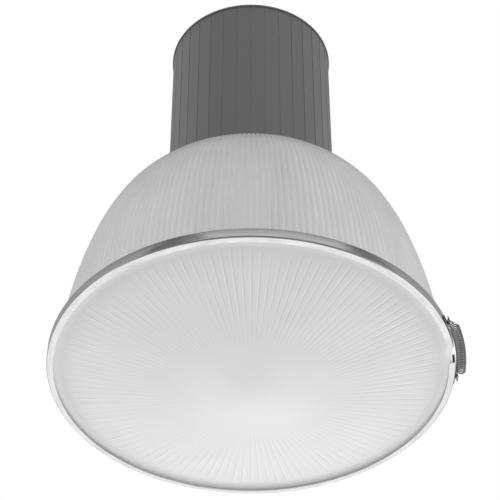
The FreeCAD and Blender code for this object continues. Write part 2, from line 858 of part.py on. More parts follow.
def gland():
    """Cable gland on the cover: threaded body, rubber seal, cap nut above and lock nut below."""
    seat = cover_level + S.cover_gauge
    thread = S.gland_thread_radius
    bore = S.gland_bore_radius
    pocket_floor = S.gland_hex_height
    pocket_radius = S.gland_seal_radius + S.thread_gap
    barrel_top = pocket_floor + S.gland_barrel_height
    made = turned("gland_body", seat,
                  [(bore, -S.gland_thread_length), (thread, -S.gland_thread_length), (thread, barrel_top),
                   (pocket_radius, barrel_top), (pocket_radius, pocket_floor), (bore, pocket_floor)],
                  across=S.gland_offset)
    nut = sketch(made, "gland_body_hex")
    outline(nut, hexagon(S.gland_hex))
    circle(nut, (0, 0), thread - S.overlap)
    pad(made, nut, S.gland_hex_height)
    turned("gland_seal", seat + pocket_floor,
           [(S.gland_cable_radius, 0), (S.gland_seal_radius, 0),
            (S.gland_seal_radius, S.gland_barrel_height), (S.gland_cable_radius, S.gland_barrel_height)],
           across=S.gland_offset)
    inner = thread + S.thread_gap
    skirt = S.gland_barrel_height - S.gland_cap_lift
    turned("gland_cap_nut", seat + pocket_floor + S.gland_cap_lift,
           [(inner, 0), (S.gland_cap_radius, 0), (S.gland_cap_radius, skirt - S.gland_cap_taper),
            (S.gland_cap_top_radius, S.gland_cap_height), (S.gland_cap_hole, S.gland_cap_height),
            (S.gland_cap_hole, skirt + S.seat_gap), (inner, skirt + S.seat_gap)], across=S.gland_offset)
    locknut = body("gland_locknut", cover_level - S.gland_locknut_height, across=S.gland_offset)
    flats = sketch(locknut, "locknut_flats")
    outline(flats, hexagon(S.gland_hex))
    circle(flats, (0, 0), thread + S.thread_gap)
    pad(locknut, flats, S.gland_locknut_height)


# Lampholder and lamp


def lampholder_bridge():
    """Folded steel hat under the base plate that carries the lampholder."""
    made = body("lampholder_bridge", base_level)
    half = S.bridge_span / 2
    gauge = S.bridge_gauge
    foot = half + S.bridge_foot
    floor = -S.bridge_drop
    profile = sketch(made, "bridge_profile", "XZ_Plane")
    outline(profile, [(-foot, -gauge), (-half, -gauge), (-half, floor), (half, floor),
                      (half, -gauge), (foot, -gauge), (foot, 0), (half - gauge, 0),
                      (half - gauge, floor + gauge), (-half + gauge, floor + gauge),
                      (-half + gauge, 0), (-foot, 0)])
    pad(made, profile, S.bridge_width, both_ways=True)
    doc.recompute()
    ways = sketch(made, "bridge_foot_ways")
    for spot in bridge_spots():
        circle(ways, spot, S.small_screw_radius + S.hole_gap)
    pocket(made, ways, gauge)
    holder_ways = sketch(made, "bridge_holder_ways", offset=floor)
    for spot in holder_spots():
        circle(holder_ways, spot, S.small_screw_radius + S.hole_gap)
    pocket(made, holder_ways, gauge, up=True)


def holder_spots():
    return [(S.holder_screw_spread, 0), (-S.holder_screw_spread, 0)]


def bridge_screws():
    """Screws that hold the bridge's feet to the base plate, and the holder's roof to the bridge."""
    grip = S.bridge_gauge + S.small_screw_bite
    bolts("bridge_screws", base_level - S.bridge_gauge, bridge_spots(), S.small_screw_radius, grip,
          S.small_head_radius, S.small_head_height, head_up=False)
    bolts("holder_screws", base_level - S.bridge_drop + S.bridge_gauge, holder_spots(),
          S.small_screw_radius, grip, S.small_head_radius, S.small_head_height)


def lampholder():
    """Ceramic holder: a roof, a throat for the contact shell and a wider skirt at the mouth."""
    height = S.holder_height
    top = S.holder_top_radius
    mouth = S.holder_mouth_radius
    throat = shell_outer() + S.seat_gap
    level = base_level - S.bridge_drop
    made = turned("lampholder", level,
                  [(0, 0), (top, 0), (top, -S.holder_throat_length), (mouth, -S.holder_skirt_length),
                   (mouth, -height), (throat + S.holder_chamfer_radius, -height),
                   (throat, S.holder_chamfer_length - height), (throat, -S.holder_roof),
                   (0, -S.holder_roof)])
    doc.recompute()
    taps = sketch(made, "holder_taps")
    for spot in holder_spots():
        circle(taps, spot, S.small_screw_radius + S.thread_gap)
    pocket(made, taps, S.holder_roof / 2)


def shell_outer():
    return S.lamp_cap_radius + S.seat_gap + S.shell_gauge


def lampholder_shell():
    """Contact shell: a thin cup pressed into the holder's throat."""
    level = base_level - S.bridge_drop - S.holder_roof
    outer = shell_outer()
    inner = outer - S.shell_gauge
    turned("lampholder_shell", level,
           [(0, 0), (outer, 0), (outer, -S.shell_length), (inner, -S.shell_length),
            (inner, -S.shell_gauge), (0, -S.shell_gauge)])


def lamp():
    """Discharge lamp, sealed: screw cap, neck and a bulb that swells to its widest below the middle."""
    level = base_level - S.bridge_drop - S.holder_roof - S.shell_gauge
    cap = S.lamp_cap_radius
    cap_end = S.lamp_cap_length
    neck = S.lamp_neck_radius
    bulb = S.lamp_bulb_radius
    length = S.lamp_length
    shoulder = cap_end + S.lamp_neck_length
    wide = shoulder + (length - shoulder) / 2
    tip = S.lamp_tip_radius
    low = length - wide
    side = (bulb * bulb + (low - tip) * (low - tip) - tip * tip) / ((bulb - tip) * 2)
    meet_r = (bulb - side) + (side - bulb) * side / (side - tip)
    meet_z = -wide - (low - tip) * side / (side - tip)
    swell = bulb - neck
    rise = wide - shoulder
    upper = (swell * swell + rise * rise) / (swell * 2)
    turned("lamp", level,
           [(0, 0), (0, -length, tip), (meet_r, meet_z, side), (bulb, -wide, upper), (neck, -shoulder),
            (neck, -cap_end), (cap, -cap_end), (cap, -S.lamp_cap_taper), (S.lamp_contact_radius, 0)])


# Control gear


def gear_tray():
    """Folded steel plate: a foot on the base plate, the upright face and a stiffening flange."""
    made = body("gear_tray", gear_level)
    gauge = S.tray_gauge
    face = -S.tray_offset
    back = face - gauge
    profile = sketch(made, "tray_profile", "YZ_Plane")
    outline(profile, [(face, 0), (face, S.tray_height), (face - S.tray_flange, S.tray_height),
                      (face - S.tray_flange, S.tray_height - gauge), (back, S.tray_height - gauge),
                      (back, gauge), (face - S.tray_foot, gauge), (face - S.tray_foot, 0)])
    pad(made, profile, S.tray_width, both_ways=True)
    doc.recompute()
    ways = sketch(made, "tray_foot_ways")
    for spot in tray_spots():
        circle(ways, spot, S.small_screw_radius + S.hole_gap)
    pocket(made, ways, gauge, up=True)
    face_ways = sketch(made, "tray_face_ways", "XZ_Plane", offset=S.tray_offset)
    for spot in gear_bolt_spots():
        circle(face_ways, spot, S.small_screw_radius + S.hole_gap)
    pocket(made, face_ways, gauge, up=True)


def ballast_bolt_spots():
    low = S.ballast_height - S.ballast_foot_length / 2
    high = S.ballast_height + S.ballast_core_length + S.ballast_foot_length / 2
    reach = S.ballast_width / 2 - S.ballast_bolt_inset
    return [(reach, low), (-reach, high)]


def ear_bolt_spots():
    return [(S.ignitor_across, S.ignitor_height + S.ignitor_length + S.ignitor_ear),
            (S.capacitor_across - S.capacitor_radius - S.clip_ear / 2, clip_middle())]


def terminal_bolt_spots():
    return [(S.capacitor_across, terminal_height + S.terminal_length / 2)]


def clip_middle():
    return S.capacitor_height + S.capacitor_length / 2


def gear_bolt_spots():
    return ballast_bolt_spots() + ear_bolt_spots() + terminal_bolt_spots()


def tray_screws():
    bolts("tray_screws", gear_level + S.tray_gauge, tray_spots(), S.small_screw_radius,
          S.tray_gauge + S.small_screw_bite, S.small_head_radius, S.small_head_height)


def gear_bolts():
    """Bolts on the tray's face, with their nuts on its other side."""
    face = -S.tray_offset
    back = face - S.tray_gauge
    grip = S.tray_gauge * 2 + S.nut_height + S.bolt_end
    long_grip = grip + S.terminal_depth - S.tray_gauge
    bolts("ballast_bolts", gear_level, ballast_bolt_spots(), S.small_screw_radius, grip,
          S.small_head_radius, S.small_head_height, role="XZ_Plane", head_up=False,
          depth=face + S.tray_gauge)
    bolts("ear_bolts", gear_level, ear_bolt_spots(), S.small_screw_radius, grip,
          S.small_head_radius, S.small_head_height, role="XZ_Plane", depth=back - S.tray_gauge)
    bolts("terminal_bolt", gear_level, terminal_bolt_spots(), S.small_screw_radius, long_grip,
          S.small_head_radius, S.small_head_height, role="XZ_Plane", depth=back - S.terminal_depth)
    made = body("gear_nuts", gear_level, depth=face)
    front = sketch(made, "front_nuts", "XZ_Plane")
    rear = sketch(made, "rear_nuts", "XZ_Plane", offset=S.tray_gauge)
    for drawing, spots in ((front, ear_bolt_spots() + terminal_bolt_spots()), (rear, ballast_bolt_spots())):
        for across, height in spots:
            outline(drawing, [(across + x, height + z) for x, z in hexagon(S.nut_radius)])
            circle(drawing, (across, height), S.small_screw_radius + S.thread_gap)
    pad(made, front, S.nut_height, down=True)
    pad(made, rear, S.nut_height)


def ballast():
    """Laminated core with a window for its winding, and a foot plate at each end."""
    made = body("ballast_core", gear_level + S.ballast_height, depth=-S.tray_offset)
    half = S.ballast_width / 2
    core = sketch(made, "ballast_core_section")
    rectangle(core, (-half, 0), (half, S.ballast_depth))
    pad(made, core, S.ballast_core_length)
    feet = sketch(made, "ballast_feet", "XZ_Plane")
    rectangle(feet, (-half, -S.ballast_foot_length), (half, S.ballast_core_length + S.ballast_foot_length))
    pad(made, feet, S.tray_gauge, down=True)
    doc.recompute()
    window = sketch(made, "ballast_window")
    wide = S.ballast_winding_width / 2 + S.seat_gap
    middle = S.ballast_depth / 2 + S.tray_gauge
    deep = S.ballast_winding_depth / 2 + S.seat_gap
    rectangle(window, (-wide, middle - deep), (wide, middle + deep))
    pocket(made, window, S.ballast_core_length, up=True)
    ways = sketch(made, "ballast_foot_ways", "XZ_Plane")
    for across, height in ballast_bolt_spots():
        circle(ways, (across, height - S.ballast_height), S.small_screw_radius + S.hole_gap)
    pocket(made, ways, S.tray_gauge)
    overhang = (S.ballast_winding_length - S.ballast_core_length) / 2
    winding = body("ballast_winding", gear_level + S.ballast_height - overhang, depth=middle - S.tray_offset)
    coil = sketch(winding, "winding_section")
    wide = S.ballast_winding_width / 2
    deep = S.ballast_winding_depth / 2
    bend = S.winding_corner
    outline(coil, [(-wide + bend, -deep), (wide - bend, -deep, bend), (wide, -deep + bend),
                   (wide, deep - bend, bend), (wide - bend, deep), (-wide + bend, deep, bend),
                   (-wide, deep - bend), (-wide, -deep + bend, bend)])
    pad(winding, coil, S.ballast_winding_length)


def ignitor():
    """Potted box with a fixing ear above it."""
    made = body("ignitor", gear_level + S.ignitor_height, across=S.ignitor_across,
                depth=-S.tray_offset - S.tray_gauge)
    half = S.ignitor_width / 2
    bend = S.ignitor_corner
    case = sketch(made, "ignitor_case")
    outline(case, [(-half, -S.ignitor_depth + bend, bend), (-half + bend, -S.ignitor_depth),
                   (half - bend, -S.ignitor_depth, bend), (half, -S.ignitor_depth + bend),
                   (half, 0), (-half, 0)])
    pad(made, case, S.ignitor_length)
    ear = sketch(made, "ignitor_ear", "XZ_Plane")
    circle(ear, (0, S.ignitor_length + S.ignitor_ear), S.ignitor_ear_radius)
    pad(made, ear, S.tray_gauge)
    doc.recompute()
    way = sketch(made, "ignitor_ear_way", "XZ_Plane")
    circle(way, (0, S.ignitor_length + S.ignitor_ear), S.small_screw_radius + S.hole_gap)
    pocket(made, way)


def capacitor():
    """Aluminium can with a rolled rim and a plastic top, held on the tray by a strap."""
    radius = S.capacitor_radius
    length = S.capacitor_length
    away = -S.tray_offset - S.tray_gauge - radius - S.seat_gap
    edge = S.capacitor_edge
    crimp = S.capacitor_crimp
    cap = S.capacitor_cap_radius
    cap_top = length + S.capacitor_cap_height
    turned("capacitor", gear_level + S.capacitor_height,
           [(0, 0), (radius - edge, 0, edge), (radius, edge), (radius, length - crimp * 2),
            (radius - crimp / 2, length - crimp), (radius - crimp * 1.5, length), (cap, length),
            (cap, cap_top), (0, cap_top)], across=S.capacitor_across, depth=away)
    made = body("capacitor_clip", gear_level + clip_middle() - S.clip_height / 2,
                across=S.capacitor_across, depth=-S.tray_offset - S.tray_gauge)
    inner = radius + S.seat_gap
    outer = inner + S.clip_gauge
    ear = radius + S.clip_ear
    middle = -radius - S.seat_gap
    strap = sketch(made, "clip_strap")
    outline(strap, [(-ear, 0), (-ear, -S.clip_gauge), (-outer, -S.clip_gauge), (-outer, middle, outer),
                    (0, middle - outer, outer), (outer, middle), (outer, 0), (inner, 0),
                    (inner, middle, -inner), (0, middle - inner, -inner), (-inner, middle), (-inner, 0)])
    pad(made, strap, S.clip_height)
    doc.recompute()
    ways = sketch(made, "clip_ways", "XZ_Plane")
    circle(ways, (-(radius + S.clip_ear / 2), S.clip_height / 2), S.small_screw_radius + S.hole_gap)
    pocket(made, ways, S.clip_gauge, up=True)


def terminal_block():
    """Three-way block: a funnel for each lead and a well for each screw, two rows of each."""
    made = body("terminal_block", gear_level + terminal_height, across=S.capacitor_across,
                depth=-S.tray_offset - S.tray_gauge)
    half = S.terminal_width / 2
    block = sketch(made, "terminal_section")
    rectangle(block, (-half, -S.terminal_depth), (half, 0))
    pad(made, block, S.terminal_length)
    doc.recompute()
    leads = sketch(made, "terminal_leads")
    wells = sketch(made, "terminal_wells", "XZ_Plane", offset=S.terminal_depth)
    pitch = S.terminal_width / S.terminal_ways
    for column in (-1, 0, 1):
        circle(leads, (pitch * column, -(S.terminal_depth / 2)), S.terminal_lead_radius)
        for height in (0.25, 0.75):
            circle(wells, (pitch * column, S.terminal_length * height), S.terminal_well_radius)
    pocket(made, leads, S.terminal_length, up=True)
    pocket(made, wells, S.terminal_depth / 2)
    way = sketch(made, "terminal_way", "XZ_Plane")
    circle(way, (0, S.terminal_length / 2), S.small_screw_radius + S.hole_gap)
    pocket(made, way)


# Spring clasp


def hook_seat():
    """Radius of the hook's root, where it is welded to the band's wall."""
    return S.band_radius + S.thread_gap


def hook_middle():
    """Radius halfway across the hook's mouth, where the spring's loop lies."""
    return hook_seat() + S.hook_gauge + S.hook_mouth / 2


def hook_angle(spring_tip, side):
    """Turn that puts the closed end of the hook just inside the ring that ends the spring."""
    reach = S.spring_lead + (S.spring_coil_radius - S.spring_wire_radius) / 2
    return spring_tip + (reach / hook_middle()) * (math.degrees(1) * side)


def hook(label, spring_tip, side):
    """Strip welded to the band's wall and folded back outwards. Its closed end faces the spring."""
    made = body(label, S.band_height / 2 - S.hook_width / 2, turn=hook_angle(spring_tip, side))
    gauge = S.hook_gauge
    half = S.hook_mouth / 2
    inner = hook_middle() - half
    outer = hook_middle() + half
    bend = half * side
    wide = (half + gauge) * side
    tight = half * -side
    root = S.hook_root * side
    tongue = S.hook_tongue * side
    drawing = sketch(made, label + "_fold")
    outline(drawing, [(inner - gauge, root), (inner - gauge, bend, wide),
                      (hook_middle(), gauge * -side, wide), (outer + gauge, bend),
                      (outer + gauge, tongue), (outer, tongue), (outer, bend, tight),
                      (hook_middle(), 0, tight), (inner, bend), (inner, root)])
    pad(made, drawing, S.hook_width)


def band_spring():
    """Tension spring bent along the band: open coils, and a loop at each end for the hooks."""
    turns = int(S.spring_turns.number)
    steps = 12
    coil = S.spring_coil_radius.number
    run = (S.band_radius + S.spring_stand_off).number
    first = math.radians(S.spring_start.number)
    last = math.radians(S.spring_end.number)
    middle = S.band_height.number / 2

    def at(angle, radius, height):
        return Vector(radius * math.cos(angle), radius * math.sin(angle), middle + height)

    coils = []
    for index in range(turns * steps + 1):
        phase = math.pi / 2 + 2 * math.pi * index / steps
        angle = first + (last - first) * index / (turns * steps)
        coils.append(at(angle, run + coil * math.cos(phase), coil * math.sin(phase)))

    def loop(tip, side):
        """Lead in over the hook's tongue, half a ring inside its mouth, and a short return."""
        catch = hook_middle().number
        lead = S.spring_lead.number
        spots = [at(tip + side * lead * share / catch, run + (catch - run) * share, coil)
                 for share in (0.3, 0.7, 1.0)]
        for step in range(1, 7):
            swing = math.pi * step / 6
            ahead = lead + coil * math.sin(swing)
            spots.append(at(tip + side * ahead / catch, catch, coil * math.cos(swing)))
        spots.append(at(tip + side * lead / 2 / catch, catch + S.spring_wire_radius.number, -coil))
        return spots

    path = list(reversed(loop(first, -1))) + coils + loop(last, 1)
    solid_feature("band_spring", wire_along(path, S.spring_wire_radius.number, 6), 0)


def wire_along(path, radius, sides):
    """Loft a many-sided section along a path, carrying it from point to point without twist."""
    across = None
    rings = []
    for index, spot in enumerate(path):
        ahead = path[min(index + 1, len(path) - 1)]
        behind = path[max(index - 1, 0)]
        along = (ahead - behind).normalize()
        guide = across if across is not None else Vector(0, 0, 1)
        across = (guide - along * guide.dot(along)).normalize()
        up = along.cross(across)
        corners = []
        for side in range(sides):
            angle = 2 * math.pi * side / sides
            corners.append(spot + across * (radius * math.cos(angle)) + up * (radius * math.sin(angle)))
        rings.append(Part.makePolygon(corners + corners[:1]))
    return outward(Part.makeLoft(rings, True, True))


def build():
    gear_housing()
    base_plate()
    base_gasket()
    base_screws()
    top_cover()
    top_cover_gasket()
    top_cover_screws()
    hanger()
    hanger_screws()
    gland()
    neck_gasket()
    retaining_collar()
    collar_screws()
    prismatic_dome()
    rim_gasket()
    prismatic_lens()
    clamp_band()
    hook("near_hook", S.spring_start, -1)
    hook("far_hook", S.spring_end, 1)
    band_spring()
    lampholder_bridge()
    bridge_screws()
    lampholder()
    lampholder_shell()
    lamp()
    gear_tray()
    tray_screws()
    gear_bolts()
    ballast()
    ignitor()
    capacitor()
    terminal_block()
    doc.recompute()


def check_and_write():
    """Refuse a failed feature or a bad shape, then write one file for each sub-part."""
    for made in doc.Objects:
        if "Invalid" in made.State or "Error" in made.State:
            raise RuntimeError("%s is %s" % (made.Label, made.State))
        if made.TypeId == "PartDesign::Pocket" and made.Shape.Volume > made.BaseFeature.Shape.Volume - 1e-3:
            raise RuntimeError("%s cuts nothing" % made.Label)
    os.makedirs("parts", exist_ok=True)
    for made in sub_parts:
        if made.Shape.isNull() or not made.Shape.isValid():
            raise RuntimeError("%s has no sound shape" % made.Label)
        made.Shape.exportStep("parts/%s.step" % made.Label)
        print(made.Label, len(made.Shape.Solids), round(made.Shape.Volume))


build()
check_and_write()
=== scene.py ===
import json
import math

import bmesh
import bpy
from mathutils import Matrix, Vector


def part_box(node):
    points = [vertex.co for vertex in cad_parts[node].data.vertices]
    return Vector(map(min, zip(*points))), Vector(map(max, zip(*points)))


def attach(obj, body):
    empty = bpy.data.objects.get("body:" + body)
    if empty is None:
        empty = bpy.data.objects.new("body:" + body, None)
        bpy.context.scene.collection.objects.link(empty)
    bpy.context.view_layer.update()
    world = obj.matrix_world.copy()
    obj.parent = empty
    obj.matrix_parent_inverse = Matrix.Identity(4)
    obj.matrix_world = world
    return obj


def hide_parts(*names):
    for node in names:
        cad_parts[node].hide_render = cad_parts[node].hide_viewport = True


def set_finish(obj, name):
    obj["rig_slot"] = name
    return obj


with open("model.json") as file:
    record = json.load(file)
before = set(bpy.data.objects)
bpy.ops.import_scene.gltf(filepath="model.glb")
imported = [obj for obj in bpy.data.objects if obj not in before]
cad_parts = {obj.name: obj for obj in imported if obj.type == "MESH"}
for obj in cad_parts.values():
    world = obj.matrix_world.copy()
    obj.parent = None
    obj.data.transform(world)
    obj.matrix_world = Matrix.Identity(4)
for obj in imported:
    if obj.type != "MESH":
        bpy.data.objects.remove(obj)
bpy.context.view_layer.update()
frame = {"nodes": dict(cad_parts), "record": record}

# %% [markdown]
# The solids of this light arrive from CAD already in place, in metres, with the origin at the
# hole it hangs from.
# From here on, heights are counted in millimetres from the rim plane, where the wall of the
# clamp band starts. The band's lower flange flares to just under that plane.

MM = 0.001
BAND_HEIGHT = 12.9
FLARE = 1.0
nodes = frame["nodes"]
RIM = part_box("clamp_band")[0].z + FLARE * MM
print("rim plane at", round(RIM, 5))

# %% [markdown]
# Every turned or moulded piece below starts as a thin section line that is swept about the
# light's axis. A small pen draws such a line: a move with two numbers goes straight to a radius
# and a height, and a move with four numbers swings round a centre by an angle in some steps.
# The swing is a spin of one vertex, which keeps the arc true whatever the number of steps.

# %% A pen for section lines


def draw_section(bm, start, moves):
    """Draw a line of radius and height, in millimetres above the rim, and return its vertices."""
    line = [bm.verts.new((start[0] * MM, 0, RIM + start[1] * MM))]
    for move in moves:
        if len(move) == 2:
            made = bmesh.ops.extrude_vert_indiv(bm, verts=[line[-1]])["verts"]
            made[0].co = (move[0] * MM, 0, RIM + move[1] * MM)
            line.append(made[0])
        else:
            centre_r, centre_z, turn, steps = move
            before = set(bm.verts)
            bmesh.ops.spin(bm, geom=[line[-1]], cent=(centre_r * MM, 0, RIM + centre_z * MM),
                           axis=(0, -1, 0), angle=turn, steps=steps)
            line.extend(vert for vert in bm.verts if vert not in before)
    return line


sketch = bmesh.new()
quarter_line = draw_section(sketch, (1, 0), [(0, 0, math.pi / 2, 4)])
print("a quarter circle in 4 steps has", len(quarter_line), "vertices")
sketch.free()

# %% [markdown]
# A section becomes a solid when it is spun about the upright axis. A whole turn has to join up
# with its start. For a piece with many ribs or prisms, one of them is spun through its own
# pitch, shaped, and then copied round the circle, so that only one has to be shaped.

# %% Spin a section
WHOLE = 2 * math.pi
MERGE = 0.002


def turn_about(bm, angle, steps, centre=(0, 0, 0)):
    """Spin the section about an upright axis."""
    bmesh.ops.spin(bm, geom=list(bm.verts) + list(bm.edges), cent=centre, axis=(0, 0, 1),
                   angle=angle, steps=steps, use_merge=abs(angle - WHOLE) < 1e-6)


def copy_round(bm, count):
    """Fill the circle with copies of the slice that is there."""
    slice_made = list(bm.verts) + list(bm.edges) + list(bm.faces)
    bmesh.ops.spin(bm, geom=slice_made, cent=(0, 0, 0), axis=(0, 0, 1), angle=WHOLE,
                   steps=count, use_duplicate=True)


def close_holes(bm):
    bmesh.ops.remove_doubles(bm, verts=bm.verts, dist=MERGE * MM)
    bmesh.ops.holes_fill(bm, edges=[edge for edge in bm.edges if edge.is_boundary], sides=0)


print("a whole turn is", round(WHOLE, 4), "radians")

# %% [markdown]
# Each new piece ends in the same way. Its doubled vertices are merged and its faces turned
# outwards. Then it rides on the light, takes a slot, and the CAD nodes it stands for are hidden.
# Smooth shading on every face would blur real edges, and flat shading would show every facet,
# so shading is rounded only where two faces meet at a low angle.

# %% Make it a piece


def as_piece(bm, name, slot, replaced):
    """Turn the mesh into a piece that rides on the light and stands for the CAD nodes named."""
    bmesh.ops.remove_doubles(bm, verts=bm.verts, dist=MERGE * MM)
    bmesh.ops.recalc_face_normals(bm, faces=bm.faces)
    mesh = bpy.data.meshes.new(name)
    bm.to_mesh(mesh)
    bm.free()
    piece = bpy.data.objects.new(name, mesh)
    bpy.context.scene.collection.objects.link(piece)
    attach(piece, "root")
    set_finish(piece, slot)
    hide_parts(*replaced)
    print(name, "triangles:", sum(len(face.vertices) - 2 for face in mesh.polygons))
    return piece


def shade_by_angle(piece, degrees):
    """Round off the shading wherever two faces meet at less than the angle."""
    limit = math.radians(degrees)
    mesh = piece.data
    bm = bmesh.new()
    bm.from_mesh(mesh)
    for face in bm.faces:
        face.smooth = True
    for edge in bm.edges:
        edge.smooth = len(edge.link_faces) == 2 and edge.calc_face_angle(0) < limit
    bm.to_mesh(mesh)
    bm.free()


# %% [markdown]
# The dome's side is three arcs that run into each other without a kink, from the mouth up to
# the neck. A Bezier curve could follow such a side too, but arcs are what a mould is turned to.
# Each arc starts at the lean at which the one before it ended, so its centre follows from its
# radius. Only the radii and the leans at the ends have to be chosen.

# %% The side of the dome
MOUTH_R = 229.2
MOUTH_LEAN = 3.6
NECK_R = 110.0
SIDE_ARCS = ((687.0, 16.3), (345.0, 24.5), (145.0, None))
ARC_STEPS = (8, 4, 14)
DOME_Z = 8.0
DOME_FLANGE = 3.0


def dome_side():
    """Centre, radius and two leans of each arc, and the height that the last one reaches."""
    radius, height, lean = MOUTH_R, DOME_FLANGE, math.radians(MOUTH_LEAN)
    arcs = []
    for reach, end in SIDE_ARCS:
        centre_r = radius - reach * math.cos(lean)
        centre_z = height - reach * math.sin(lean)
        last = math.acos((NECK_R - centre_r) / reach) if end is None else math.radians(end)
        arcs.append((centre_r, centre_z, reach, lean, last))
        radius = centre_r + reach * math.cos(last)
        height = centre_z + reach * math.sin(last)
        lean = last
    return arcs, height


ARCS, DOME_RISE = dome_side()


def along(index, down=False):
    """The pen's move up one arc of the side, or down it again in half as many steps."""
    centre_r, centre_z, _, lean, last = ARCS[index]
    if down:
        return (centre_r, DOME_Z + centre_z, lean - last, ARC_STEPS[index] // 2)
    return (centre_r, DOME_Z + centre_z, last - lean, ARC_STEPS[index])


print("the dome rises", round(DOME_RISE, 1), "mm")

# %% [markdown]
# The section goes up the side, over the thick neck, down the inside of the wall, and out along
# the rim flange to its rounded bead. The lens has the same bead the other way up, so the bead
# is a helper of its own.

# %% The section of the dome
WALL = 3.0
NECK_GAUGE = 4.0
NECK_HOLE_R = 87.0
SHOULDER_STEPS = 7
DOME_BEAD = 4.0
FLANGE_R = 236.5
BEAD_R = 234.5
BEAD_ROUND = 0.4


def bead(tip, side):
    """The bead of a rim flange, from its outer corner to its inner one; side is 1 up, -1 down."""
    shoulder = tip - side * BEAD_ROUND
    return [(FLANGE_R, shoulder), (FLANGE_R - BEAD_ROUND, tip), (BEAD_R + BEAD_ROUND, tip),
            (BEAD_R, shoulder)]


def dome_section(bm):
    """Draw the closed section and return the vertices of its outside."""
    outside = draw_section(bm, (MOUTH_R, DOME_Z + DOME_FLANGE), [along(0), along(1), along(2)])
    centre_r, centre_z, reach, lean, _ = ARCS[2]
    reach -= WALL
    under = DOME_RISE - NECK_GAUGE
    top_turn = math.asin((under - centre_z) / reach)
    neck = [(NECK_HOLE_R, DOME_Z + under),
            (centre_r + reach * math.cos(top_turn), DOME_Z + under)]
    wall = [(centre_r, DOME_Z + centre_z, lean - top_turn, SHOULDER_STEPS), along(1, True),
            along(0, True), (MOUTH_R - WALL, DOME_Z)]
    flange = [(FLANGE_R, DOME_Z), *bead(DOME_Z + DOME_BEAD, 1), (BEAD_R, DOME_Z + DOME_FLANGE)]
    inside = draw_section(bm, (NECK_HOLE_R, DOME_Z + DOME_RISE), neck + wall + flange)
    bm.edges.new((outside[-1], inside[0]))
    bm.edges.new((inside[-1], outside[0]))
    return outside


print("the neck's hole is", 2 * NECK_HOLE_R, "mm across")

# %% [markdown]
# The dome is one moulding of clear acrylic whose outside carries upright ribs all the way round.
# Modelling every rib by hand would be slow, and a bump map would leave the outline smooth, so
# one rib's slice is modelled: the section is swept through a single pitch, its outside is
# rounded into a ridge, and the slice is copied round the axis and merged. The valleys are cut
# deeper at the crest, where they show as small teeth. How near each vertex is to the valley
# between two ribs is kept as an attribute, because the finish paints a thin highlight along each
# valley from it.

# %% The ribbed dome
RIBS = 188
RIB_STEPS = 8
RIB_DEPTH = 1.3
RIB_ROUNDING = 2.6
VALLEY_SHARPNESS = 4
CREST_DEPTH = 1.2
CREST_R = 155.0
CREST_REACH = 26.0


def ribbed_dome():
    bm = bmesh.new()
    ribbed = bm.verts.layers.float.new("ribbed")
    valley_glint = bm.verts.layers.float.new("valley_glint")
    for vert in dome_section(bm):
        vert[ribbed] = 1.0
    pitch = WHOLE / RIBS
    turn_about(bm, pitch, RIB_STEPS)
    for vert in bm.verts:
        if vert[ribbed] > 0.5:
            radius = math.hypot(vert.co.x, vert.co.y)
            across = abs(2 * math.atan2(vert.co.y, vert.co.x) / pitch - 1)
            depth = RIB_DEPTH * MM * across ** RIB_ROUNDING
            crest = max(0.0, 1 - abs(radius / MM - CREST_R) / CREST_REACH)
            # How much painted highlight the finish puts here, full in the valley.
            vert[valley_glint] = across ** VALLEY_SHARPNESS
            vert.co.x *= 1 - depth / radius
            vert.co.y *= 1 - depth / radius
            vert.co.z -= CREST_DEPTH * depth * crest
    copy_round(bm, RIBS)
    return as_piece(bm, "ribbed_dome", "dome", ["prismatic_dome"])


dome = ribbed_dome()
shade_by_angle(dome, 40)

# %% [markdown]
# The lens that closes the mouth is a shallow cone of the same acrylic, cut flat at a small tip.
# Near its edge it eases into a smooth border, which ends in a flange with its bead downwards.
# Each step of the easing is a distance past the cone's radius and a height over the border. A
# bump map could pretend the slope, but the cone's outline shows from the side.

# %% The section of the lens
CONE_R = 223.2
CONE_DROP = 39.5
CONE_STEPS = 16
TIP_R = 12.0
TIP_DROP = CONE_DROP * (CONE_R - TIP_R) / CONE_R
EASE = ((-4.0, -0.55), (-1.0, -0.12), (1.5, 0.0))
TOP_SHARES = (0.34, 0.67, 1.0)
BORDER = 6.0
LENS_Z = 2.5
LENS_GAUGE = 3.0
LENS_BEAD = 1.6


def lens_section(bm):
    """Draw the section and return the vertices of the cone's underside."""
    slant = CONE_R - TIP_R
    top = LENS_Z + LENS_GAUGE
    shares = [index / CONE_STEPS for index in range(1, CONE_STEPS)]
    under = [(TIP_R + slant * share, LENS_Z - TIP_DROP * (1 - share)) for share in shares]
    ease = [(CONE_R + across, LENS_Z + rise) for across, rise in EASE]
    over = [(CONE_R - slant * share, top - TIP_DROP * share) for share in TOP_SHARES]
    flange = [(BEAD_R, LENS_Z), *reversed(bead(LENS_Z - LENS_BEAD, -1)), (FLANGE_R, top)]
    cone = draw_section(bm, (TIP_R, LENS_Z - TIP_DROP), under + ease)
    rest = draw_section(bm, (CONE_R + BORDER, LENS_Z), flange + [(CONE_R, top)] + over)
    bm.edges.new((cone[-1], rest[0]))
    return cone


print("the lens is", round(TIP_DROP, 1), "mm deep")

# %% [markdown]
# The prisms run outwards from the tip like the rays of a fan and die away at both ends, before
# the tip and before the border. A texture could draw such a fan, but ridges in the mesh can be
# measured. So a slice is swept, its underside is pushed into one flat ridge with steep sides,
# and the slice is copied round. Between two ridges the real lens shows a thin line that is dark
# on one side and lit on the other. The finish paints that line as painted shade and painted
# highlight from an attribute kept here: minus is painted shade, plus is painted highlight,
# counted by the step across one prism.

# %% The prismatic lens
PRISMS = 120
PRISM_STEPS = 12
PRISM_HEIGHT = 0.11
PRISM_FLATNESS = 6
FADE_FROM = 52.0
FADE_IN = 60.0
FADE_OUT = 14.0
# Painted shade (minus) and painted highlight (plus), by the step across one prism.
PAINTED_GLINTS = {1: -1.2, 2: -0.3, 10: 0.3, 11: 1.0}


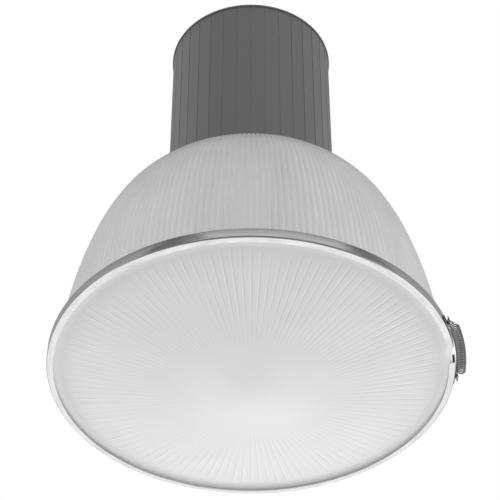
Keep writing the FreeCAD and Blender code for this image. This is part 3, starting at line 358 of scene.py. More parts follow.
def prismatic_lens():
    bm = bmesh.new()
    prism = bm.verts.layers.float.new("prism")
    groove_glint = bm.verts.layers.float.new("groove_glint")
    for vert in lens_section(bm):
        vert[prism] = 1.0
    pitch = WHOLE / PRISMS
    turn_about(bm, pitch, PRISM_STEPS)
    for vert in bm.verts:
        if vert[prism] > 0.5:
            radius = math.hypot(vert.co.x, vert.co.y) / MM
            place = math.atan2(vert.co.y, vert.co.x) / pitch
            ridge = 1 - abs(2 * place - 1) ** PRISM_FLATNESS
            share = max(0.0, min(1.0, (radius - FADE_FROM) / FADE_IN,
                                 (CONE_R - radius) / FADE_OUT))
            # The line of painted shade and highlight, faded out like the ridge.
            vert[groove_glint] = PAINTED_GLINTS.get(round(place * PRISM_STEPS), 0.0) * share
            vert.co.z -= PRISM_HEIGHT * MM * ridge * share
    copy_round(bm, PRISMS)
    close_holes(bm)
    return as_piece(bm, "radial_prism_lens", "lens", ["prismatic_lens"])


lens = prismatic_lens()
shade_by_angle(lens, 12)

# %% [markdown]
# The clamp band is closed by a coil spring that lies bent along it. A Screw modifier could wind
# straight coils, but these follow the band, so the path of the wire is worked out spot by spot:
# the coils, then at each end a ring that turns through the mouth of a hook.

# %% The path of the spring's wire
SPRING_R = 246.75
SPRING_Z = BAND_HEIGHT / 2
SPRING_FROM = math.radians(-19.6)
SPRING_TO = math.radians(-0.3)
COIL_R = 5.2
TURNS = 26
COIL_STEPS = 14
WIRE_R = 0.85
CATCH_R = 242.45
LEAD = 6.0
LEAD_SHARES = (0.3, 0.7, 1.0)
RING_STEPS = 8
RING_TAIL = 0.5


def along_band(angle, radius, height):
    """The spot at an angle and a radius, at a height over the middle of the band."""
    return Vector((radius * MM * math.cos(angle), radius * MM * math.sin(angle),
                   RIM + (SPRING_Z + height) * MM))


def end_ring(tip, side):
    """From the last coil's top: in over the hook, round inside its mouth, and a short way back."""
    spots = [along_band(tip + side * LEAD * share / CATCH_R,
                        SPRING_R + (CATCH_R - SPRING_R) * share, COIL_R)
             for share in LEAD_SHARES]
    for step in range(1, RING_STEPS + 1):
        swing = math.pi * step / RING_STEPS
        spots.append(along_band(tip + side * (LEAD + COIL_R * math.sin(swing)) / CATCH_R,
                                CATCH_R, COIL_R * math.cos(swing)))
    spots.append(along_band(tip + side * LEAD * RING_TAIL / CATCH_R, CATCH_R + WIRE_R, -COIL_R))
    return spots


def spring_path():
    coils = []
    for step in range(TURNS * COIL_STEPS + 1):
        phase = math.pi / 2 + WHOLE * step / COIL_STEPS
        angle = SPRING_FROM + (SPRING_TO - SPRING_FROM) * step / (TURNS * COIL_STEPS)
        coils.append(along_band(angle, SPRING_R + COIL_R * math.cos(phase),
                                COIL_R * math.sin(phase)))
    return list(reversed(end_ring(SPRING_FROM, -1))) + coils + end_ring(SPRING_TO, 1)


print("spots along the wire:", len(spring_path()))

# %% [markdown]
# The path becomes a curve, and a round bevel gives the curve its gauge. The bevel is a hair
# under the real wire, so that the spring stays inside the box of the solids. The curve is made a
# mesh at once, because only meshes ride on the light.

# %% The band spring
WIRE_FIT = 0.99


def band_spring():
    path = spring_path()
    curve = bpy.data.curves.new("spring_wire", "CURVE")
    curve.dimensions = "3D"
    spline = curve.splines.new("POLY")
    spline.points.add(len(path) - 1)
    for point, spot in zip(spline.points, path):
        point.co = (*spot, 1)
    curve.bevel_depth = WIRE_R * MM * WIRE_FIT
    curve.bevel_resolution = 3
    curve.use_fill_caps = True
    holder = bpy.data.objects.new("spring_wire", curve)
    bpy.context.scene.collection.objects.link(holder)
    mesh = bpy.data.meshes.new_from_object(holder)
    bpy.data.objects.remove(holder)
    bm = bmesh.new()
    bm.from_mesh(mesh)
    return as_piece(bm, "coil_spring", "spring", ["band_spring"])


spring = band_spring()
shade_by_angle(spring, 50)

# %% [markdown]
# The clamp band is stainless strip rolled to an open V, whose two flanges draw the lens and the
# dome together. A plain cylinder with a Bevel modifier could stand for it, but it would have no
# flanges. Here its bends are true arcs, because a bend is what catches the light on such a strip.
# The section is spun through less than a whole turn, and the two sheared ends are filled.

# %% The clamp band
BAND_R = 239.93
BEND = 1.9
TOP_BEND = 0.8
INSIDE_BEND = 0.4
GAUGE = 1.0
FLANGE = 7.6
GAP_START = math.radians(-5.9)
GAP = math.radians(6.7)
BAND_STEPS = 260


def clamp_band():
    bm = bmesh.new()
    inner, bend_r, top_r = BAND_R - FLANGE, BAND_R - BEND, BAND_R - TOP_BEND
    back_r, under = BAND_R - GAUGE, BAND_HEIGHT - GAUGE
    quarter = math.pi / 2
    outside = [
        (bend_r, 0), (bend_r, BEND, quarter, 8), (BAND_R, BAND_HEIGHT - TOP_BEND),
        (top_r, BAND_HEIGHT - TOP_BEND, quarter, 5), (inner, BAND_HEIGHT + FLARE)]
    inside = [
        (inner, BAND_HEIGHT + FLARE - GAUGE), (bend_r, under), (back_r, under - INSIDE_BEND),
        (back_r, BEND), (bend_r, BEND, -quarter, 3), (inner, GAUGE - FLARE)]
    line = draw_section(bm, (inner, -FLARE), outside + inside)
    bm.edges.new((line[-1], line[0]))
    bmesh.ops.rotate(bm, verts=bm.verts, cent=(0, 0, 0),
                     matrix=Matrix.Rotation(GAP_START, 3, "Z"))
    turn_about(bm, WHOLE - GAP, BAND_STEPS)
    close_holes(bm)
    return as_piece(bm, "rolled_band", "band", ["clamp_band"])


band = clamp_band()
shade_by_angle(band, 30)

# %% [markdown]
# The cover is a casting, so none of its edges is sharp: the rim, the raised hub and the foot of
# the hub's slope are all rounded. A Bevel modifier could round them too, but each edge has a
# radius of its own, so the cover is turned in one piece from its section, down to the seat of
# its gasket. The tables give a radius and a height over the cover's underside.

# %% The top cover
COVER_Z = (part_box("top_cover")[0].z - RIM) / MM
PLATE = 3.6
LIP_R = 108.0
LIP_ROUND = 1.2
HUB = 9.0
HUB_R = 36.6
HUB_ROUND = 1.4
HUB_SLOPE = ((41.4, 4.6), (42.8, 3.8), (44.6, 3.6))
GASKET_SEAT = ((106.2, 0.0), (106.2, 1.0), (103.2, 1.0), (103.2, 0.0), (0.0, 0.0))
COVER_STEPS = 144


def top_cover():
    bm = bmesh.new()
    top = COVER_Z + PLATE
    hub = [(HUB_R, COVER_Z + HUB), (HUB_R, COVER_Z + HUB - HUB_ROUND, -math.radians(45), 4)]
    slope = [(radius, COVER_Z + height) for radius, height in HUB_SLOPE]
    lip = [(LIP_R - LIP_ROUND, top), (LIP_R - LIP_ROUND, top - LIP_ROUND, -math.pi / 2, 6),
           (LIP_R, COVER_Z)]
    seat = [(radius, COVER_Z + height) for radius, height in GASKET_SEAT]
    draw_section(bm, (0, COVER_Z + HUB), hub + slope + lip + seat)
    turn_about(bm, WHOLE, COVER_STEPS)
    return as_piece(bm, "cast_cover", "cover", ["top_cover"])


cover = top_cover()
shade_by_angle(cover, 50)

# %% [markdown]
# The screws on the cover and on the hanger are cap screws with a hexagon socket. One is built
# from a ring of vertices that is pushed up the shank, out to the head and in again, and then
# joined to a ring of six for the socket. A Boolean could cut the socket too, but joined rings
# leave a cleaner mesh. The rest are the same screw at the other spots.

# %% How a cap screw is built
SHANK_SIDES = 24
HEAD_ROUND = 0.5
SOCKET_LAND = 0.7
SOCKET_DEPTH = 0.55


def push(bm, ring, rise, scale=1.0):
    """Push a closed ring of edges up by some millimetres, scale it, and return the new ring."""
    made = bmesh.ops.extrude_edge_only(bm, edges=ring)["geom"]
    verts = [item for item in made if isinstance(item, bmesh.types.BMVert)]
    bmesh.ops.translate(bm, verts=verts, vec=(0, 0, rise * MM))
    bmesh.ops.scale(bm, verts=verts, vec=(scale, scale, 1))
    return [item for item in made if isinstance(item, bmesh.types.BMEdge)]


def ring_of(bm, sides, radius, height):
    made = bmesh.ops.create_circle(bm, cap_ends=False, segments=sides, radius=radius * MM)["verts"]
    bmesh.ops.translate(bm, verts=made, vec=(0, 0, height * MM))
    return list({edge for vert in made for edge in vert.link_edges})


def cap_screw(bm, spot, level, shank, length, head, height, socket):
    """One cap screw under a head that sits at the level, with its axis through the spot."""
    before = set(bm.verts)
    bottom = ring_of(bm, SHANK_SIDES, shank, -length)
    ring = push(bm, bottom, length)
    ring = push(bm, ring, 0, head / shank)
    ring = push(bm, ring, height - HEAD_ROUND)
    ring = push(bm, ring, HEAD_ROUND, (head - HEAD_ROUND) / head)
    ring = push(bm, ring, 0, (socket + SOCKET_LAND) / (head - HEAD_ROUND))
    six = ring_of(bm, 6, socket, height)
    bmesh.ops.bridge_loops(bm, edges=ring + six)
    six = push(bm, six, -height * SOCKET_DEPTH)
    bmesh.ops.edgeloop_fill(bm, edges=six)
    bmesh.ops.edgeloop_fill(bm, edges=bottom)
    made = [vert for vert in bm.verts if vert not in before]
    bmesh.ops.translate(bm, verts=made, vec=(spot[0] * MM, spot[1] * MM, level))


print("a socket reaches", SOCKET_DEPTH, "of its head's height")

# %% [markdown]
# Where the heads sit follows from the CAD screws that these stand for. The four of the cover
# share one circle, and the two of the hanger stand in opposite corners of its foot.

# %% Cap screws
COVER_SCREW = {"shank": 2.5, "length": 15.6, "head": 4.25, "height": 5.0, "socket": 2.3}
COVER_SCREW_R = 97.5
HANGER_SCREW = {"shank": 3.0, "length": 10.0, "head": 5.0, "height": 4.0, "socket": 2.9}
HANGER_SPOT = 16


def cap_screws(name, node, spots, sizes):
    bm = bmesh.new()
    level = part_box(node)[1].z - sizes["height"] * MM
    for spot in spots:
        cap_screw(bm, spot, level, **sizes)
    piece = as_piece(bm, name, "hardware", [node])
    shade_by_angle(piece, 40)
    return piece


side = COVER_SCREW_R * math.sqrt(0.5)
cover_screws = cap_screws("cover_cap_screws", "top_cover_screws",
                          [(side, side), (-side, side), (-side, -side), (side, -side)],
                          COVER_SCREW)
hanger_screws = cap_screws("hanger_cap_screws", "hanger_screws",
                           [(-HANGER_SPOT, HANGER_SPOT), (HANGER_SPOT, -HANGER_SPOT)],
                           HANGER_SCREW)

# %% [markdown]
# The gland's cap nut is tightened by hand, so it has grip ribs round its skirt. Ribs could be
# joined on one by one, but moulded ones flow into each other. So the nut is turned about its own
# axis, and the outer skirt is then waved in and out twelve times. The table gives a radius and a
# height over the foot of the nut.

# %% The gland's cap nut
GLAND_X = 66.0
CAP_SECTION = (
    (10.05, 0.0), (11.6, 0.0), (12.0, 0.4), (12.0, 6.6), (11.6, 7.2), (10.0, 16.4), (9.2, 17.6),
    (8.6, 18.0), (6.9, 18.0), (6.5, 17.6), (6.5, 12.3), (10.05, 12.3))
CAP_STEPS = 96
SKIRT_R = 11.5
SKIRT_TOP = 6.9
GRIPS = 12
GRIP_DEPTH = 0.35


def gland_cap():
    bm = bmesh.new()
    low = (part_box("gland_cap_nut")[0].z - RIM) / MM
    corners = [(radius, low + height) for radius, height in CAP_SECTION]
    line = draw_section(bm, corners[0], corners[1:])
    bm.edges.new((line[-1], line[0]))
    bmesh.ops.translate(bm, verts=bm.verts, vec=(GLAND_X * MM, 0, 0))
    turn_about(bm, WHOLE, CAP_STEPS, centre=(GLAND_X * MM, 0, 0))
    for vert in bm.verts:
        x, y = vert.co.x - GLAND_X * MM, vert.co.y
        radius = math.hypot(x, y)
        if radius > SKIRT_R * MM and vert.co.z < RIM + (low + SKIRT_TOP) * MM:
            wave = GRIP_DEPTH * MM * (1 - math.cos(GRIPS * math.atan2(y, x)))
            vert.co.x -= wave * x / radius
            vert.co.y -= wave * y / radius
    return as_piece(bm, "gland_cap", "gland", ["gland_cap_nut"])


cap_nut = gland_cap()
shade_by_angle(cap_nut, 35)

# %% [markdown]
# Cut plate and bent strip never have knife edges. Such a piece could be modelled anew, but its
# holes would have to fit again, so these keep their CAD shape: each mesh is copied, its doubled
# corners are merged, flat faces are joined again, and then every real edge gets a small bevel
# that catches a thin line of light.

# %% Soften the edges of plate and strip
COPY_MERGE = 0.01
FLAT_ANGLE = 1
EDGE_ANGLE = 35


def softened(name, node, slot, width):
    bm = bmesh.new()
    bm.from_mesh(nodes[node].data)
    bmesh.ops.remove_doubles(bm, verts=bm.verts, dist=COPY_MERGE * MM)
    bmesh.ops.dissolve_limit(bm, angle_limit=math.radians(FLAT_ANGLE), verts=bm.verts,
                             edges=bm.edges)
    sharp = [edge for edge in bm.edges
             if edge.is_manifold and edge.calc_face_angle(0) > math.radians(EDGE_ANGLE)]
    bmesh.ops.bevel(bm, geom=sharp, offset=width * MM, offset_type="OFFSET", segments=2,
                    profile=0.5, affect="EDGES", material=-1, clamp_overlap=True)
    piece = as_piece(bm, name, slot, [node])
    shade_by_angle(piece, 40)
    return piece


hanger = softened("hanger_bracket", "hanger_plate", "hanger", width=0.5)
near_catch = softened("near_catch", "near_hook", "band", width=0.2)
far_catch = softened("far_catch", "far_hook", "band", width=0.2)

# %% [markdown]
# A finish is a small tree of nodes. One helper adds a node, sets its plain values and joins its
# linked ones, so each finish below reads as a short list. Inputs are found by their names, which
# are those of the Blender version printed here.

# %% Helpers that add nodes


def put(tree, socket, value):
    """Join a socket to another one, or give it a plain value."""
    if isinstance(value, bpy.types.NodeSocket):
        tree.links.new(value, socket)
    else:
        socket.default_value = value


def add(tree, kind, settings=None, **inputs):
    """Add a node. Inputs are named with _ for a space; a linked one is given as a socket."""
    made = tree.nodes.new(kind)
    for key, value in (settings or {}).items():
        setattr(made, key, value)
    for key, value in inputs.items():
        put(tree, made.inputs[key.replace("_", " ")], value)
    return made


def worked(tree, kind, operation, *values):
    """A math node that works on the values given, in the order of its inputs."""
    made = add(tree, kind, {"operation": operation})
    for socket, value in zip(made.inputs, values):
        put(tree, socket, value)
    return made


def times(tree, one, two):
    return worked(tree, "ShaderNodeMath", "MULTIPLY", one, two).outputs[0]


def ranged(tree, value, start, end, low=0.0, high=1.0, clamp=True):
    """Map the value's way from start to end onto the way from low to high."""
    return add(tree, "ShaderNodeMapRange", {"clamp": clamp}, Value=value, From_Min=start,
               From_Max=end, To_Min=low, To_Max=high).outputs["Result"]


def finish(name, colour, rough, **sockets):
    """A Principled material, its tree and its shader; joined sockets outdo the values given."""
    material = bpy.data.materials.new(name)
    material.use_nodes = True
    tree = material.node_tree
    tree.nodes.clear()
    shader = add(tree, "ShaderNodeBsdfPrincipled", Base_Color=(*colour, 1), Roughness=rough,
                 **sockets)
    add(tree, "ShaderNodeOutputMaterial", Surface=shader.outputs["BSDF"])
    return material, tree, shader


print("Blender", bpy.app.version_string)

# %% [markdown]
# Most finishes are one noise put to three uses: it moves the tone a little, makes some spots
# glossier than others, and lifts the surface by a hair. An image could bring the pattern, but a
# noise has no seams and needs no file. It reads Object coordinates, which stay put when the
# camera moves. Tones are written as the grey levels that a picture shows, from 0 to 255, and
# turned into the linear values that a shader takes.

# %% Helpers that make patterns
PEEL = 0.1
TONE_SPAN = (0.25, 0.75)
GRADE_SPAN = (0.3, 0.7)


def placed(tree, scale=(1, 1, 1)):
    coords = add(tree, "ShaderNodeTexCoord").outputs["Object"]
    return add(tree, "ShaderNodeMapping", Vector=coords, Scale=scale).outputs["Vector"]


def from_axis(tree):
    """Distance from the light's upright axis, in metres."""
    flat = worked(tree, "ShaderNodeVectorMath", "MULTIPLY", placed(tree), (1, 1, 0)).outputs[0]
    return worked(tree, "ShaderNodeVectorMath", "LENGTH", flat).outputs["Value"]


def speckle(tree, where, scale, detail=4.0):
    return add(tree, "ShaderNodeTexNoise", Vector=where, Scale=scale, Detail=detail,
               Roughness=0.6).outputs["Fac"]


def graded(tree, noise, low, high):
    """Spread the middle of a noise over a range."""
    return ranged(tree, noise, *GRADE_SPAN, low, high)


def stepped(tree, share, steps):
    """Colour that follows the share through the steps of (place, colour)."""
    ramp = add(tree, "ShaderNodeValToRGB", Fac=share)
    elements = ramp.color_ramp.elements
    while len(elements) < len(steps):
        elements.new(0.5)
    for element, (place, colour) in zip(elements, steps):
        element.position = place
        element.color = (*colour, 1)
    return ramp.outputs["Color"]


def between(tree, noise, low, high):
    """Colour that wanders between two tones as a noise does."""
    return stepped(tree, noise, ((TONE_SPAN[0], low), (TONE_SPAN[1], high)))


def grey(level):
    """Linear colour of a grey level from 0 to 255."""
    share = level / 255
    value = share / 12.92 if share <= 0.04045 else ((share + 0.055) / 1.055) ** 2.4
    return (value, value, value)


def speckled_finish(name, low, high, rough, scale, bump, stretch=(1, 1, 1), **sockets):
    """A finish whose tone, roughness and surface all wander with one noise."""
    material, tree, shader = finish(name, high, rough[0], **sockets)
    noise = speckle(tree, placed(tree, stretch), scale)
    lifted = add(tree, "ShaderNodeBump", Height=noise, Strength=bump, Distance=PEEL * MM)
    put(tree, shader.inputs["Base Color"], between(tree, noise, low, high))
    put(tree, shader.inputs["Roughness"], graded(tree, noise, *rough))
    put(tree, shader.inputs["Normal"], lifted.outputs["Normal"])
    return material


print("grey 128 is", round(grey(128)[0], 4))

# %% [markdown]
# The housing and the cover are powder coated: a matt grey skin with a very fine orange peel. The
# coat is a dielectric over colour. On the housing a painted sheen turns its colour paler where it
# is seen at a glancing angle. It is also painted a little lighter in the narrow grooves, against
# the shade that falls in them, and these are found by their distance from the axis.

# %% Coated metal
FLATS_R = 106.45
GROOVES_R = 106.25
# Painted sheen: the colour turns paler towards this grey at glancing angles.
PAINTED_SHEEN_SPAN = (0.28, 0.75)
PAINTED_SHEEN_TONE = 114
# Painted light in the grooves: the colour turns lighter there, against their shade.
GROOVE_PAINTED_LIGHT_TONE = 120
coat_grey = speckled_finish("coat_grey", grey(93), grey(97), rough=(0.36, 0.44), scale=900,
                            bump=0.1, Specular_IOR_Level=0.95)
coat_cover = speckled_finish("coat_cover", grey(95), grey(99), rough=(0.4, 0.48), scale=900,
                             bump=0.1, Specular_IOR_Level=0.5)
coat_base = speckled_finish("coat_base", grey(90), grey(98), rough=(0.5, 0.6), scale=600,
                            bump=0.2)


def paler_where(tree, shader, share, tone):
    """Mix the colour towards a tone by the share."""
    colour = shader.inputs["Base Color"]
    mixed = add(tree, "ShaderNodeMix", {"data_type": "RGBA"}, Factor=share)
    put(tree, mixed.inputs[6], colour.links[0].from_socket)
    put(tree, mixed.inputs[7], (*grey(tone), 1))
    put(tree, colour, mixed.outputs[2])


tree = coat_grey.node_tree
shader = tree.nodes["Principled BSDF"]
# First the painted sheen, then the painted light in the grooves.
facing = add(tree, "ShaderNodeLayerWeight", Blend=0.5).outputs["Facing"]
paler_where(tree, shader, ranged(tree, facing, *PAINTED_SHEEN_SPAN), PAINTED_SHEEN_TONE)
paler_where(tree, shader, ranged(tree, from_axis(tree), FLATS_R * MM, GROOVES_R * MM),
            GROOVE_PAINTED_LIGHT_TONE)
print("coats:", coat_grey.name, coat_cover.name, coat_base.name)

# %% [markdown]
# The band is stainless strip, rolled and satin. Its grain runs along the strip, so the noise is
# squeezed in height. The Anisotropic value could stretch its highlights too, but it would draw
# no grain. The spring, the hanger and the screws are duller, zinc-plated steel, and the two
# hooks are plain dull steel.

# %% Steels
band_steel = speckled_finish("band_steel", grey(212), grey(246), rough=(0.1, 0.17), scale=30,
                             bump=0.03, stretch=(1, 1, 26), Metallic=1.0)
dull_steel = speckled_finish("dull_steel", grey(120), grey(150), rough=(0.36, 0.5), scale=220,
                             bump=0.12, Metallic=1.0)
spring_steel = speckled_finish("spring_steel", grey(160), grey(190), rough=(0.26, 0.36),
                               scale=500, bump=0.1, Metallic=1.0)
zinc_steel = speckled_finish("zinc_steel", grey(186), grey(212), rough=(0.36, 0.5), scale=220,
                             bump=0.12, Metallic=1.0)
print("steels:", band_steel.name, dull_steel.name, spring_steel.name, zinc_steel.name)

# %% [markdown]
# Acrylic is clear, but the prisms scatter what passes through them, so from outside the dome and
# the lens look milky. Transmission could be traced through every rib, but that is slow and stays
# grainy. A pale body under a glossy skin gives the same look at little cost. Its tone follows
# the distance from the axis, and that tone holds painted light and shade: the dome grows lighter
# towards its mouth, and the lens is painted lighter at its centre, darker at its smooth border,
# where the dark rim behind it shows through, and lighter again in the recess under the band's
# flange, against the shade there. The thin lines between ribs and prisms are painted highlights
# and painted shade that follow the attributes kept above, stronger in some patches than in
# others. The tables give a radius and a grey level.

# %% Acrylic
# Grey by radius, with painted light and shade in it.
DOME_TONES_AND_PAINTED_LIGHT = ((150, 187), (178, 191), (188, 200), (200, 203), (226, 206), (229, 212))
LENS_TONES_AND_PAINTED_LIGHT = ((15, 221), (60, 220), (100, 216), (185, 215), (212, 212), (223, 207), (228, 213),
              (234, 230))
ACRYLIC_R = 240.0
CLOUDS = 14
CLOUD_TONE = (0.98, 1.02)
CLOUD_ROUGH = (0.36, 0.44)
UPRIGHT = (1, 1, 0.15)
UNEVEN = (0.1, 1.6)


def acrylic(name, tones, line, strength, patches):
    """A milky finish, with lines of painted highlight and shade that follow the attribute named.
    """
    material, tree, shader = finish(name, grey(220), rough=0.4, Specular_IOR_Level=0.4)
    outwards = ranged(tree, from_axis(tree), 0.0, ACRYLIC_R * MM)
    # The tone by radius, with painted light and shade in it.
    body = stepped(tree, outwards, [(radius / ACRYLIC_R, grey(tone)) for radius, tone in tones])
    cloud = speckle(tree, placed(tree), CLOUDS, detail=2.0)
    uneven = graded(tree, speckle(tree, placed(tree, UPRIGHT), patches, detail=2.0), *UNEVEN)
    # Painted highlights and shade along the ribs and prisms, stronger in some patches.
    glint_share = add(tree, "ShaderNodeAttribute", {"attribute_name": line}).outputs["Fac"]
    painted_lines = ranged(tree, times(tree, glint_share, uneven), -1.0, 1.0, 1 - strength, 1 + strength,
                   clamp=False)
    toned = worked(tree, "ShaderNodeVectorMath", "SCALE", body)
    put(tree, toned.inputs["Scale"], times(tree, painted_lines, graded(tree, cloud, *CLOUD_TONE)))
    put(tree, shader.inputs["Base Color"], toned.outputs[0])
    put(tree, shader.inputs["Roughness"], graded(tree, cloud, *CLOUD_ROUGH))
    return material


dome_acrylic = acrylic("dome_acrylic", DOME_TONES_AND_PAINTED_LIGHT, "valley_glint", strength=0.22, patches=34)
lens_acrylic = acrylic("lens_acrylic", LENS_TONES_AND_PAINTED_LIGHT, "groove_glint", strength=0.14, patches=22)
print("acrylics:", dome_acrylic.name, lens_acrylic.name)

# %% [markdown]
# The pieces that are seldom seen are finished too: rubber seals, the plastic gland, the glazed
# lampholder with its brass shell, the frosted lamp, and the control gear inside the housing.

# %% Seals, gland, lamp and gear
rubber = speckled_finish("rubber", grey(24), grey(34), rough=(0.7, 0.85), scale=400, bump=0.3)
gland_plastic = speckled_finish("gland_plastic", grey(44), grey(54), rough=(0.45, 0.6),
                                scale=300, bump=0.2)
glaze = speckled_finish("glaze", grey(222), grey(236), rough=(0.12, 0.22), scale=80, bump=0.08,
                        Coat_Weight=0.5)
brass = speckled_finish("brass", (0.50, 0.34, 0.12), (0.62, 0.45, 0.18), rough=(0.25, 0.4),
                        scale=200, bump=0.1, Metallic=1.0)
frosted = speckled_finish("frosted", grey(226), grey(238), rough=(0.35, 0.45), scale=60,
                          bump=0.05)
varnish = speckled_finish("varnish", grey(70), grey(92), rough=(0.4, 0.55), scale=300, bump=0.3,
                          stretch=(1, 1, 12))
tape = speckled_finish("tape", (0.24, 0.11, 0.03), (0.36, 0.18, 0.05), rough=(0.4, 0.55),
                       scale=120, bump=0.3, stretch=(1, 1, 6))
potting = speckled_finish("potting", grey(200), grey(212), rough=(0.35, 0.5), scale=200,
                          bump=0.1)
drawn_can = speckled_finish("drawn_can", grey(190), grey(208), rough=(0.25, 0.38), scale=90,
                            bump=0.1, stretch=(1, 1, 0.1), Metallic=1.0)
moulded = speckled_finish("moulded", grey(218), grey(228), rough=(0.4, 0.5), scale=260, bump=0.1)
print("finishes:", len(bpy.data.materials))

# %% [markdown]
# Each CAD node gets the finish of its slot, and the new pieces get theirs in the same way. The
# hooks share the band's slot, but they are of duller steel.

# %% Put the finishes on
FINISH_OF_SLOT = {
    "housing": coat_grey, "cover": coat_cover, "base": coat_base, "dome": dome_acrylic,
    "lens": lens_acrylic, "band": band_steel, "spring": spring_steel, "hardware": zinc_steel,
    "hanger": zinc_steel, "gasket": rubber, "gland": gland_plastic, "holder": glaze,
    "contact": brass, "lamp": frosted, "core": varnish, "winding": tape, "ignitor": potting,
    "can": drawn_can, "terminal": moulded,
}


def wear(piece, material):
    piece.data.materials.clear()
    piece.data.materials.append(material)


for part in frame["record"]["subparts"]:
    wear(nodes[part["node"]], FINISH_OF_SLOT[part["material_slot"]])
for piece in (dome, lens, spring, band, cover, cover_screws, hanger_screws, cap_nut, hanger):
    wear(piece, FINISH_OF_SLOT[piece["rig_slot"]])
for catch in (near_catch, far_catch):
    wear(catch, dull_steel)

# %% [markdown]
# Bare metal shows what stands around it, so it is given a studio to mirror: white below, a dark
# line at the horizon, and grey walls above. Real panels round the light could do that, but they
# would also shade it, and these walls don't. Patches then change them in some directions. It is
# dark where the camera stands, brighter on the panel in front, and dark in the two gaps beside
# that panel. Each patch is a direction, the cosines of the angles from it at which the patch
# starts and is full, and what the level is multiplied by there.

# %% The studio that metal mirrors
STUDIO_STEPS = ((0.0, 1.0), (0.44, 1.0), (0.5, 0.12), (0.58, 0.15), (0.66, 0.38), (0.84, 0.36),
                (0.9, 0.2), (1.0, 0.2))
PATCHES = (
    ((0, -0.78, -0.62), 0.4, 0.62, 0.22),
    ((0.12, -0.77, 0.62), 0.76, 0.84, 1.5),
    ((-0.53, -0.58, 0.62), 0.965, 0.985, 0.45),
    ((0.73, -0.27, 0.62), 0.965, 0.985, 0.55),
)


def mirrored_studio(tree):
    """Colour of the studio in the direction looked at."""
    where = add(tree, "ShaderNodeTexCoord").outputs["Generated"]
    upwards = add(tree, "ShaderNodeSeparateXYZ", Vector=where).outputs["Z"]
    steps = [(place, (level, level, level)) for place, level in STUDIO_STEPS]
    walls = stepped(tree, ranged(tree, upwards, -1.0, 1.0), steps)
    for towards, edge, core, level in PATCHES:
        near = worked(tree, "ShaderNodeVectorMath", "DOT_PRODUCT", where, towards)
        dimmed = ranged(tree, near.outputs["Value"], edge, core, 1.0, level)
        walls = worked(tree, "ShaderNodeVectorMath", "MULTIPLY", walls, dimmed).outputs[0]
    return walls


print("patches in the studio:", len(PATCHES))

# %% [markdown]
# The world is white to the eye, also through glass. As a light it is milder, so that pale
# surfaces don't burn out. What shines sees the studio.

# %% The world
LIGHT_LEVEL = 0.72


def mixed_shader(tree, share, one, two):
    made = add(tree, "ShaderNodeMixShader", Fac=share)
    put(tree, made.inputs[1], one.outputs[0])
    put(tree, made.inputs[2], two.outputs[0])
    return made


world = bpy.data.worlds.new("studio")
bpy.context.scene.world = world
world.use_nodes = True
tree = world.node_tree
tree.nodes.clear()
path = add(tree, "ShaderNodeLightPath")
plain = add(tree, "ShaderNodeBackground", Color=(1, 1, 1, 1), Strength=1.0)
mild = add(tree, "ShaderNodeBackground", Color=(1, 1, 1, 1), Strength=LIGHT_LEVEL)
studio = add(tree, "ShaderNodeBackground", Color=mirrored_studio(tree), Strength=1.0)
seen = worked(tree, "ShaderNodeMath", "MAXIMUM", path.outputs["Is Camera Ray"],
              path.outputs["Is Transmission Ray"]).outputs[0]
lighting = mixed_shader(tree, path.outputs["Is Glossy Ray"], mild, studio)
whole = mixed_shader(tree, seen, lighting, plain)
add(tree, "ShaderNodeOutputWorld", Surface=whole.outputs[0])
print("world:", world.name, "light level:", LIGHT_LEVEL)

# %% [markdown]
# The light hangs, and the camera looks up at it from below. The floor lies below both, so it
# carries the light's shadow in the other views and stays out of this one. It is pale, and the
# eye sees it lifted a little towards white. Metal doesn't mirror it, because it sees the studio.

# %% The floor
FLOOR_Z = -2.3
FLOOR_R = 9
FLOOR_LIFT = 0.3
bm = bmesh.new()
bmesh.ops.create_circle(bm, cap_ends=True, segments=96, radius=FLOOR_R)
bmesh.ops.translate(bm, verts=bm.verts, vec=(0, 0, FLOOR_Z))
floor_mesh = bpy.data.meshes.new("studio_floor")
bm.to_mesh(floor_mesh)
bm.free()
floor = bpy.data.objects.new("studio_floor", floor_mesh)
bpy.context.scene.collection.objects.link(floor)
floor_paint, tree, shader = finish("floor_paint", grey(238), rough=0.85)
put(tree, shader.inputs["Base Color"],
    between(tree, speckle(tree, placed(tree), scale=6), grey(236), grey(240)))
to_eye = add(tree, "ShaderNodeLightPath").outputs["Is Camera Ray"]
glow = add(tree, "ShaderNodeEmission", Color=(1, 1, 1, 1),
           Strength=ranged(tree, to_eye, 0.0, 1.0, 0.0, FLOOR_LIFT))
lifted = add(tree, "ShaderNodeAddShader")
put(tree, lifted.inputs[0], shader.outputs["BSDF"])
put(tree, lifted.inputs[1], glow.outputs[0])
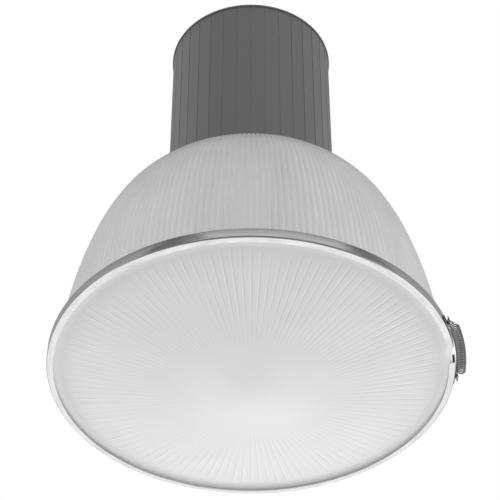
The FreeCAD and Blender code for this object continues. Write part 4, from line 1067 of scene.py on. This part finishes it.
put(tree, tree.nodes["Material Output"].inputs["Surface"], lifted.outputs[0])
wear(floor, floor_paint)
floor.visible_glossy = False
print("floor at", FLOOR_Z)

# %% [markdown]
# Soft lamps shape the light: a wide one behind and below brightens the far half of the lens, one
# at each side lifts the edges of the dome and the housing, and a weak one in front lifts their
# lower parts. None is mirrored in the metal, which sees the studio alone. The table gives each
# lamp's name, its place, the spot it aims at, its width in metres and its power in watts.

# %% Lamps
LAMPS = (
    ("lamp_behind", (0.2, 2.7, -1.65), (0, 0, -0.6), 1.4, 50),
    ("lamp_left", (-2.6, -0.3, -0.7), (0, 0, -0.3), 1.2, 14),
    ("lamp_right", (2.6, -0.3, -0.7), (0, 0, -0.3), 1.2, 17),
    ("lamp_front", (0, -2.6, -0.45), (0, 0, -0.5), 1.0, 6),
)


def soft_lamp(name, place, aim, size, power):
    data = bpy.data.lights.new(name, "AREA")
    data.shape = "DISK"
    data.size = size
    data.energy = power
    lamp = bpy.data.objects.new(name, data)
    bpy.context.scene.collection.objects.link(lamp)
    lamp.visible_glossy = False
    lamp.location = place
    lamp.rotation_euler = (Vector(aim) - Vector(place)).to_track_quat("-Z", "Y").to_euler()


for row in LAMPS:
    soft_lamp(*row)
print("lamps:", len(bpy.data.lights))

# %% [markdown]
# The camera stands in front and below, and looks up at the photo's angle through a long lens.
# Its place is counted from the middle of the rim plane, and its tilt from straight down.

# %% Camera
CAMERA_X, CAMERA_Y, CAMERA_DROP = -0.00124, -1.6441, 1.3139
CAMERA_TILT = 132.67
SENSOR = 36
FOCAL_LENGTH = 128.556
camera_data = bpy.data.cameras.new("camera")
camera_data.sensor_width = SENSOR
camera_data.lens = FOCAL_LENGTH
camera = bpy.data.objects.new("camera", camera_data)
bpy.context.scene.collection.objects.link(camera)
camera.location = (CAMERA_X, CAMERA_Y, RIM - CAMERA_DROP)
camera.rotation_euler = (math.radians(CAMERA_TILT), 0, 0)
bpy.context.scene.camera = camera
bpy.context.scene.view_settings.view_transform = "Standard"
print("camera at", [round(value, 3) for value in camera.location])
